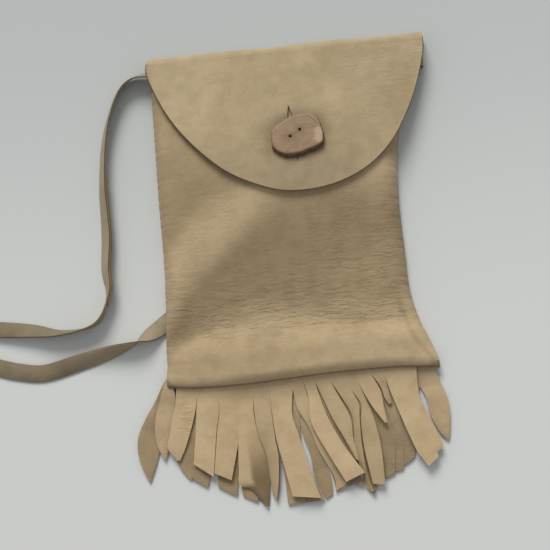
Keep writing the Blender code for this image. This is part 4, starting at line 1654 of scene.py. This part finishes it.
@dataclass
class Button:
    """The slice of twig, its two eyes and the sinew through them."""

    looks: Looks
    thickness: float = 0.0032
    dome: float = 0.00025
    slant: float = 0.0013
    eye_radius: float = 0.00086
    thread_radius: float = 0.00022
    centre: tuple[float, float] = (0.0055, 0.1235)
    eyes: Points = ((0.0022, 0.1228), (0.0073, 0.1259))
    feet: Points = ((0.0029, 0.1240), (0.0042, 0.1252))
    outline: Points = (
        (-0.0080, 0.1225), (-0.0074, 0.1270), (-0.0028, 0.1310), (0.0049, 0.1344), (0.0135, 0.1346),
        (0.0178, 0.1296), (0.0196, 0.1216), (0.0186, 0.1170), (0.0145, 0.1146), (0.0060, 0.1121),
        (-0.0004, 0.1121), (-0.0048, 0.1140), (-0.0076, 0.1180),
    )
    lobe: tuple[float, float] = (0.0170, 0.1223)
    crack: Points = ((0.0127, 0.1326), (0.0168, 0.1284))
    bark_rings: Points = ((0.0, 0.00045, 0.35), (0.3, 0.0010, 0.9), (0.75, 0.0021, 1.0), (1.0, 0.0028, 1.0))
    eye_sides: int = 20
    drill_below: float = 0.001
    drill_above: float = 0.006
    rim_step: float = 0.0011
    top_rings: tuple[float, ...] = (0.02, 0.2, 0.4, 0.6, 0.78, 0.9, 0.97)
    under_rings: tuple[float, ...] = (0.96, 0.6, 0.02)
    neck_drop: float = 0.0010

    @property
    def low(self) -> float:
        """The height of the button's underside."""
        return float(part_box("button")[0].z)

    def rings(self) -> tuple[Array, Array]:
        """The rings of the slice from the middle of its top to the middle of its underside.

        Returns:
            The points, ring by ring, and each ring's share of bark.
        """
        rim = route_through(np.array(self.outline)[::-1], self.rim_step, closed=True)[::-1]
        middle = np.array(self.centre)
        tangent = np.roll(rim, -1, 0) - np.roll(rim, 1, 0)
        tangent /= np.linalg.norm(tangent, axis=1)[:, None]
        outward = np.stack([tangent[:, 1], -tangent[:, 0]], -1)
        if np.mean(np.sum(outward * (rim - middle), 1)) < 0:
            outward = -outward
        rough = 0.00022 * unrest(rim[:, 0], rim[:, 1], 0.002, 0.006, 51)[:, None]
        drawn = 0.0004 + self.slant * np.clip(-outward[:, 1:], 0, 1) ** 1.3
        top = rim - outward * drawn + outward * rough
        high = self.low + self.thickness
        found, bark = [], []
        for share in self.top_rings:
            ring = middle + (top - middle) * share
            found.append(np.column_stack([ring, np.full(len(ring), high - self.dome * share**2)]))
            bark.append(0.0)
        for share, depth, dark in self.bark_rings:
            ring = top + (rim + outward * rough * 2 - top) * share
            found.append(np.column_stack([ring, np.full(len(ring), high - depth)]))
            bark.append(dark)
        for share in self.under_rings:
            ring = middle + (rim - middle) * share
            found.append(np.column_stack([ring, np.full(len(ring), self.low)]))
            bark.append(0.8)
        return np.array(found), np.array(bark)

    def slice_of_twig(self) -> bpy.types.Object:
        """Builds the slice and bores its eyes.

        Returns:
            The slice.
        """
        rings, bark = self.rings()
        count, around = rings.shape[:2]
        index = np.arange(around)
        faces = []
        for ring in range(count - 1):
            here, there = ring * around + index, (ring + 1) * around + index
            faces += np.stack([here, there, np.roll(there, -1), np.roll(here, -1)], -1).tolist()
        faces.append(index.tolist())
        faces.append(((count - 1) * around + index)[::-1].tolist())
        obj = mesh_object(
            "button_slice", rings.reshape(-1, 3), faces, [self.looks.wood],
            {"bark": np.repeat(bark, around)},
        )
        face_outwards(obj)
        turn = np.arange(self.eye_sides) / self.eye_sides * 2 * math.pi
        drills = []
        for number, eye in enumerate(self.eyes):
            ring = np.array(eye) + self.eye_radius * np.stack([np.cos(turn), np.sin(turn)], -1)
            foot, top = self.low - self.drill_below, self.low + self.drill_above
            drills.append(prism(f"drill_{number}", ring, foot, top, [self.looks.wood]))
        cut_away(obj, drills)
        obj.data.set_sharp_from_angle(angle=WOOD_SHARP)
        x, y, z = bag_places(obj).T
        top = smooth_step((z - self.low - self.thickness + 0.0009) / 0.0006)
        eyes = np.minimum(*(np.hypot(x - eye[0], y - eye[1]) for eye in self.eyes))
        mark(obj, "ring", np.hypot((x - 0.001) / 0.014, (y - 0.125) / 0.010))
        mark(obj, "stain", np.exp(-((eyes / 0.0024) ** 2)) * 0.8 * top)
        lobe = np.hypot((x - self.lobe[0]) / 0.0026, (y - self.lobe[1]) / 0.0046)
        mark(obj, "lobe", (1 - smooth_step((lobe - 0.7) / 0.45)) * top)
        start, end = np.array(self.crack)
        up, beside = from_line(x, y, start, end)
        mark(obj, "crack_far", beside / MM)
        mark(obj, "crack_along", up / np.linalg.norm(end - start))
        return seat(obj, Body.POUCH, Slot.BUTTON_WOOD, "button")

    def thread(self) -> bpy.types.Object:
        """Runs the sinew up through one eye, over the button and down through the other.

        Returns:
            The sinew.
        """
        high = self.low + self.thickness - self.dome * 0.3
        inner = [np.array(eye) + (np.mean(self.eyes, 0) - eye) * 0.17 for eye in self.eyes]
        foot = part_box("button_thread")[0].z
        neck = self.low - self.neck_drop
        route = np.array([
            (*self.feet[0], foot), (*self.feet[0], neck), (*inner[0], neck + 0.0009),
            (*inner[0], high - 0.0004), (*inner[0], high), (*inner[1], high),
            (*inner[1], high - 0.0004), (*inner[1], neck + 0.0009), (*self.feet[1], neck),
            (*self.feet[1], foot),
        ])
        data = bpy.data.curves.new("button_sinew", "CURVE")
        data.dimensions = "3D"
        data.bevel_depth = self.thread_radius
        data.bevel_resolution = 3
        data.use_fill_caps = True
        data.materials.append(self.looks.sinew)
        spline = data.splines.new("POLY")
        spline.points.add(len(route) - 1)
        for point, place in zip(spline.points, route):
            point.co = (*(Vector(place) + PLACE), 1.0)
        line = show("button_sinew", data)
        mesh = plain_mesh(line)
        bpy.data.objects.remove(line)
        mesh.shade_smooth()
        return seat(show("button_sinew", mesh), Body.POUCH, Slot.SINEW, "button_thread")

    def build(self) -> None:
        """Builds the slice and its thread."""
        self.slice_of_twig()
        self.thread()


# ---- the strap


@dataclass
class Strap:
    """The flat lace, from one corner of the mouth round to the other, its loop curled up flat.

    Routes hold x, y, the lift off the table and the tilt of the width in degrees.
    """

    looks: Looks
    width: float = 0.0090
    thickness: float = 0.0011
    step: float = 0.0028
    centre: tuple[float, float] = (-0.2105, -0.0031)
    outer_turn: float = 0.0420
    inner_turn: float = 0.0300
    return_turn: float = 0.0320
    turn_step: int = 15

    FIRST = (
        (-0.0690, 0.1700, 0.0020, 40), (-0.0765, 0.1703, 0.0016, 58), (-0.0848, 0.1694, 0.0004, 64),
        (-0.0922, 0.1628, 0, 66), (-0.0980, 0.1479, 0, 66), (-0.1013, 0.1309, 0, 62),
        (-0.1024, 0.1083, 0, 58), (-0.1017, 0.0941, 0, 54), (-0.1012, 0.0802, 0, 50),
        (-0.1019, 0.0638, 0, 54), (-0.1006, 0.0500, 0, 68), (-0.1070, 0.0350, 0, 80),
        (-0.1260, 0.0312, 0, 66), (-0.1430, 0.0338, 0, 34), (-0.1606, 0.0360, 0, 16),
        (-0.1815, 0.0380, 0, 0),
    )
    LAST = (
        (-0.1647, 0.0167, 0, 0), (-0.1607, 0.0155, 0, 0), (-0.1498, 0.0126, 0, 0),
        (-0.1362, 0.0111, 0, 6), (-0.1171, 0.0152, 0, 28), (-0.1009, 0.0190, 0, 52),
        (-0.0865, 0.0231, 0, 98), (-0.0757, 0.0292, 0, 170), (-0.0560, 0.0440, 0, 180),
        (-0.0200, 0.0700, 0, 180), (0.0120, 0.0990, 0, 180), (0.0320, 0.1260, 0, 180),
        (0.0450, 0.1470, 0, 180), (0.0560, 0.1600, 0, 180), (0.0640, 0.1640, 0, 180),
        (0.0705, 0.1648, 0, 180),
    )
    UNDER = slice(5, 16)
    WRAP_CENTRE = 0.0724
    WRAP_END = 0.0665
    WRAP_STEPS = 8
    SPLICE = slice(5, 12)
    SPLICE_FOOT, SPLICE_TOP = 0.0440, 0.1155
    SPLICE_NARROWER, SPLICE_ASIDE, SPLICE_GAP = 0.0022, 0.0009, 0.00008

    @classmethod
    def under_route(cls) -> Points:
        """The stretch of the strap that lies under the back of the pouch."""
        return [point[:2] for point in cls.LAST[cls.UNDER]]

    def arc(
        self, middle: tuple[float, float], start: float, end: float, radii: tuple[float, float]
    ) -> list[RoutePoint]:
        """Lays route points round part of a turn.

        Args:
            middle: The centre, seen from the coil's centre.
            start: The angle it starts at, in degrees, itself left out.
            end: The angle it ends at.
            radii: The radius at its start and at its end.

        Returns:
            The route points.
        """
        pieces = max(1, round(abs(end - start) / self.turn_step))
        found = []
        for piece in range(1, pieces + 1):
            share = piece / pieces
            angle = math.radians(start + (end - start) * share)
            radius = radii[0] + (radii[1] - radii[0]) * float(smooth_step(share))
            x = self.centre[0] + middle[0] + radius * math.cos(angle)
            found.append((x, self.centre[1] + middle[1] + radius * math.sin(angle), 0.0, 0.0))
        return found

    def wrapped_end(self) -> list[RoutePoint]:
        """Route points round the side of the back panel into the mouth.

        Returns:
            The route points.
        """
        y = self.LAST[-1][1]
        found = []
        for angle in np.linspace(0, math.pi, self.WRAP_STEPS + 1):
            lift = FORM.layer * (1 - math.cos(angle))
            found.append((self.WRAP_CENTRE + FORM.layer * math.sin(angle), y, lift, 180.0))
        return [*found, (self.WRAP_END, y, 2 * FORM.layer, 180.0)]

    def route(self) -> Array:
        """The whole route, out to the coil, round in it and back under the bag.

        Returns:
            Its route points.
        """
        half = self.inner_turn / 2
        coil = [(self.centre[0], self.centre[1] + self.outer_turn, 0.0, 0.0)]
        coil += self.arc((0, 0), 90, 165, (self.outer_turn, self.outer_turn))
        coil += self.arc((0, 0), 165, 360, (self.outer_turn, self.inner_turn))
        coil += self.arc((half, 0), 0, 180, (half, half))
        coil += self.arc((-half, 0), 0, -180, (half, half))
        coil += self.arc((0, 0), 180, 90, (self.inner_turn, self.return_turn))
        return np.array([*self.FIRST, *coil, *self.LAST, *self.wrapped_end()], float)

    def rails(self, route: Array) -> tuple[Array, Array, Array]:
        """The strap's middle line and, at each point, the ways across it and out of its face.

        Args:
            route: Route points.

        Returns:
            The middle line, the ways across and the ways out.
        """
        x, y, lift, tilt = route_through(route, self.step).T
        turn = np.radians(tilt)
        rest = FORM.strap_rest + np.abs(np.sin(turn)) * (self.width - self.thickness) / 2 + self.thickness / 2
        line = np.stack([x, y, lift + rest], -1)
        along = np.gradient(line, axis=0)
        along /= np.linalg.norm(along, axis=1)[:, None]
        level = np.cross([0.0, 0.0, 1.0], along)
        for index in np.flatnonzero(np.abs(along[:, 2]) > 0.3):
            level[index] = level[index - 1] - along[index] * (level[index - 1] @ along[index])
        level /= np.linalg.norm(level, axis=1)[:, None]
        up = np.cross(along, level)
        across = level * np.cos(turn)[:, None] + up * np.sin(turn)[:, None]
        out = np.cross(along, across)
        return line, across, out

    def lace(
        self, name: str, rails: tuple[Array, Array, Array], width: float, shade: Array
    ) -> bpy.types.Object:
        """Sweeps a flat lace with softened edges.

        Args:
            name: The object's name.
            rails: The middle line and its ways across and out.
            width: The lace's width.
            shade: How much shade is painted on it at each point of the line.

        Returns:
            The lace as a closed mesh.
        """
        line, across, out = rails
        half, thick = width / 2, self.thickness / 2
        profile = [
            (-half, -thick * 0.5), (-half * 0.93, -thick), (0.0, -thick * 0.94), (half * 0.93, -thick),
            (half, -thick * 0.5), (half, thick * 0.5), (half * 0.93, thick), (0.0, thick * 0.94),
            (-half * 0.93, thick), (-half, thick * 0.5),
        ]
        count = len(profile)
        points = np.stack([line + across * w + out * h for w, h in profile], 1)
        index = np.arange(count)
        faces, looks = [], []
        for ring in range(len(line) - 1):
            here, there = ring * count + index, (ring + 1) * count + index
            faces += np.stack([here, np.roll(here, -1), np.roll(there, -1), there], -1).tolist()
            looks += [int(side in (4, 9)) for side in range(count)]
        faces.append(index[::-1].tolist())
        faces.append(((len(line) - 1) * count + index).tolist())
        looks += [1, 1]
        obj = mesh_object(
            name, points.reshape(-1, 3), faces, [self.looks.strap, self.looks.strap_edge],
            {"shade": np.repeat(shade, count)},
        )
        obj.data.polygons.foreach_set("material_index", looks)
        face_outwards(obj)
        obj.data.set_sharp_from_angle(angle=STRAP_SHARP)
        return obj

    def splice(self) -> bpy.types.Object:
        """Builds the second layer, where two lengths of lace overlap.

        Returns:
            The second layer.
        """
        stretch = np.array(self.FIRST, float)[self.SPLICE]
        line, across, out = self.rails(stretch)
        keep = (line[:, 1] < self.SPLICE_TOP) & (line[:, 1] > self.SPLICE_FOOT)
        line, across, out = line[keep], across[keep], out[keep]
        line = line - out * (self.thickness + self.SPLICE_GAP) + across * self.SPLICE_ASIDE
        width = self.width - self.SPLICE_NARROWER
        # The second layer has an even painted shade.
        return self.lace("strap_splice", (line, across, out), width, np.full(len(line), 0.45))

    def build(self) -> bpy.types.Object:
        """Returns:
            The strap.
        """
        rails = self.rails(self.route())
        line = rails[0]
        # Painted shade along the strap: a little on all of its first half and more out by the coil, and on
        # its second half out by the coil and where it runs under the bag.
        far = smooth_step((-0.090 - line[:, 0]) / 0.04) * smooth_step((0.060 - line[:, 1]) / 0.02)
        under = smooth_step((line[:, 0] + 0.074) / 0.01) * smooth_step((0.150 - line[:, 1]) / 0.05)
        second = np.arange(len(line)) > len(line) / 2
        back = smooth_step((-0.098 - line[:, 0]) / 0.035) * second
        shade = np.maximum(0.15 + 0.65 * far * ~second, np.maximum(0.80 * back, 0.45 * under * second))
        strap = self.lace("strap", rails, self.width, shade)
        splice = self.splice()
        seat(splice, Body.POUCH, Slot.STRAP_LEATHER)
        seat(strap, Body.POUCH, Slot.STRAP_LEATHER, "strap_first_run", "strap_coil", "strap_last_run")
        length = float(np.linalg.norm(np.diff(line, axis=0), axis=1).sum())
        LOG.info("strap length %.4f m", length)
        return strap


# ---- the studio


@dataclass
class Studio:
    """The floor, the lights and the camera."""

    azimuth: float = 27.0
    elevation: float = 76.0
    roll: float = -31.0
    target: tuple[float, float] = (-0.0120, 0.0540)
    distance: float = 0.577
    view_angle: float = 28.0
    sensor: float = 36.0
    fill: float = 0.48
    key: float = 2.55
    key_way: tuple[float, float, float] = (-0.12, 0.78, 0.64)
    key_spread: float = 30.0

    def floor(self) -> None:
        """Lays the floor."""
        side = 4.0
        corners = [(-side, -side, 0), (side, -side, 0), (side, side, 0), (-side, side, 0)]
        obj = mesh_object("floor", np.array(corners, float), [(0, 1, 2, 3)], [Floor().make()])

    def lights(self) -> None:
        """Hangs one soft lamp beyond the fold in an even pale room."""
        world = bpy.data.worlds.new("room")
        world.use_nodes = True
        shade = world.node_tree.nodes["Background"]
        shade.inputs["Color"].default_value = (0.97, 0.99, 1.0, 1.0)
        shade.inputs["Strength"].default_value = self.fill
        bpy.context.scene.world = world
        data = bpy.data.lights.new("key", "SUN")
        data.energy = self.key
        data.angle = math.radians(self.key_spread)
        data.color = (1.0, 0.98, 0.95)
        lamp = show("key", data)
        lamp.rotation_mode = "QUATERNION"
        lamp.rotation_quaternion = Vector(self.key_way).to_track_quat("Z", "Y")

    def camera(self) -> None:
        """Sets the camera at the photograph's angle."""
        azimuth, elevation, roll = (math.radians(a) for a in (self.azimuth, self.elevation, self.roll))
        flat = math.cos(elevation)
        back = Vector((math.sin(azimuth) * flat, -math.cos(azimuth) * flat, math.sin(elevation)))
        right = Vector((math.cos(azimuth), math.sin(azimuth), 0.0))
        up = back.cross(right)
        across = right * math.cos(roll) + up * math.sin(roll)
        upward = up * math.cos(roll) - right * math.sin(roll)
        data = bpy.data.cameras.new("camera")
        data.sensor_width = self.sensor
        data.lens = self.sensor / 2 / math.tan(math.radians(self.view_angle) / 2)
        data.clip_start, data.clip_end = 0.01, 20.0
        camera = show("camera", data)
        turn = Matrix((across, upward, back)).transposed()
        place = Vector((*self.target, 0.0)) + back * self.distance + PLACE
        camera.matrix_world = Matrix.Translation(place) @ turn.to_4x4()
        bpy.context.scene.camera = camera

    def build(self) -> None:
        """Builds the studio."""
        scene = bpy.context.scene
        scene.view_settings.view_transform = "Standard"
        self.floor()
        self.lights()
        self.camera()


def main() -> None:
    """Builds every piece of the bag in order, then the studio."""
    logging.basicConfig(level=logging.INFO, format="%(name)s: %(message)s")
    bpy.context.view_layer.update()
    looks = Looks()
    Strap(looks).build()
    BackPanel(looks).build()
    FrontPanel(looks).build()
    FlapAndFold(looks).build()
    Comb(
        "fringe_back_leather", "fringe_back", BACK_STRIPS, 0, looks.fringe_under, looks.edge,
        flat=(0.160, 0.072), area=0.0090,
    ).build()
    Comb(
        "fringe_front_leather", "fringe_front", FRONT_STRIPS, 1, looks.fringe, looks.edge,
        flat=(0.140, 0.072), area=0.0062,
    ).build()
    Stitches(looks).build()
    Button(looks).build()
    Studio().build()


if __name__ == "__main__":
    main()
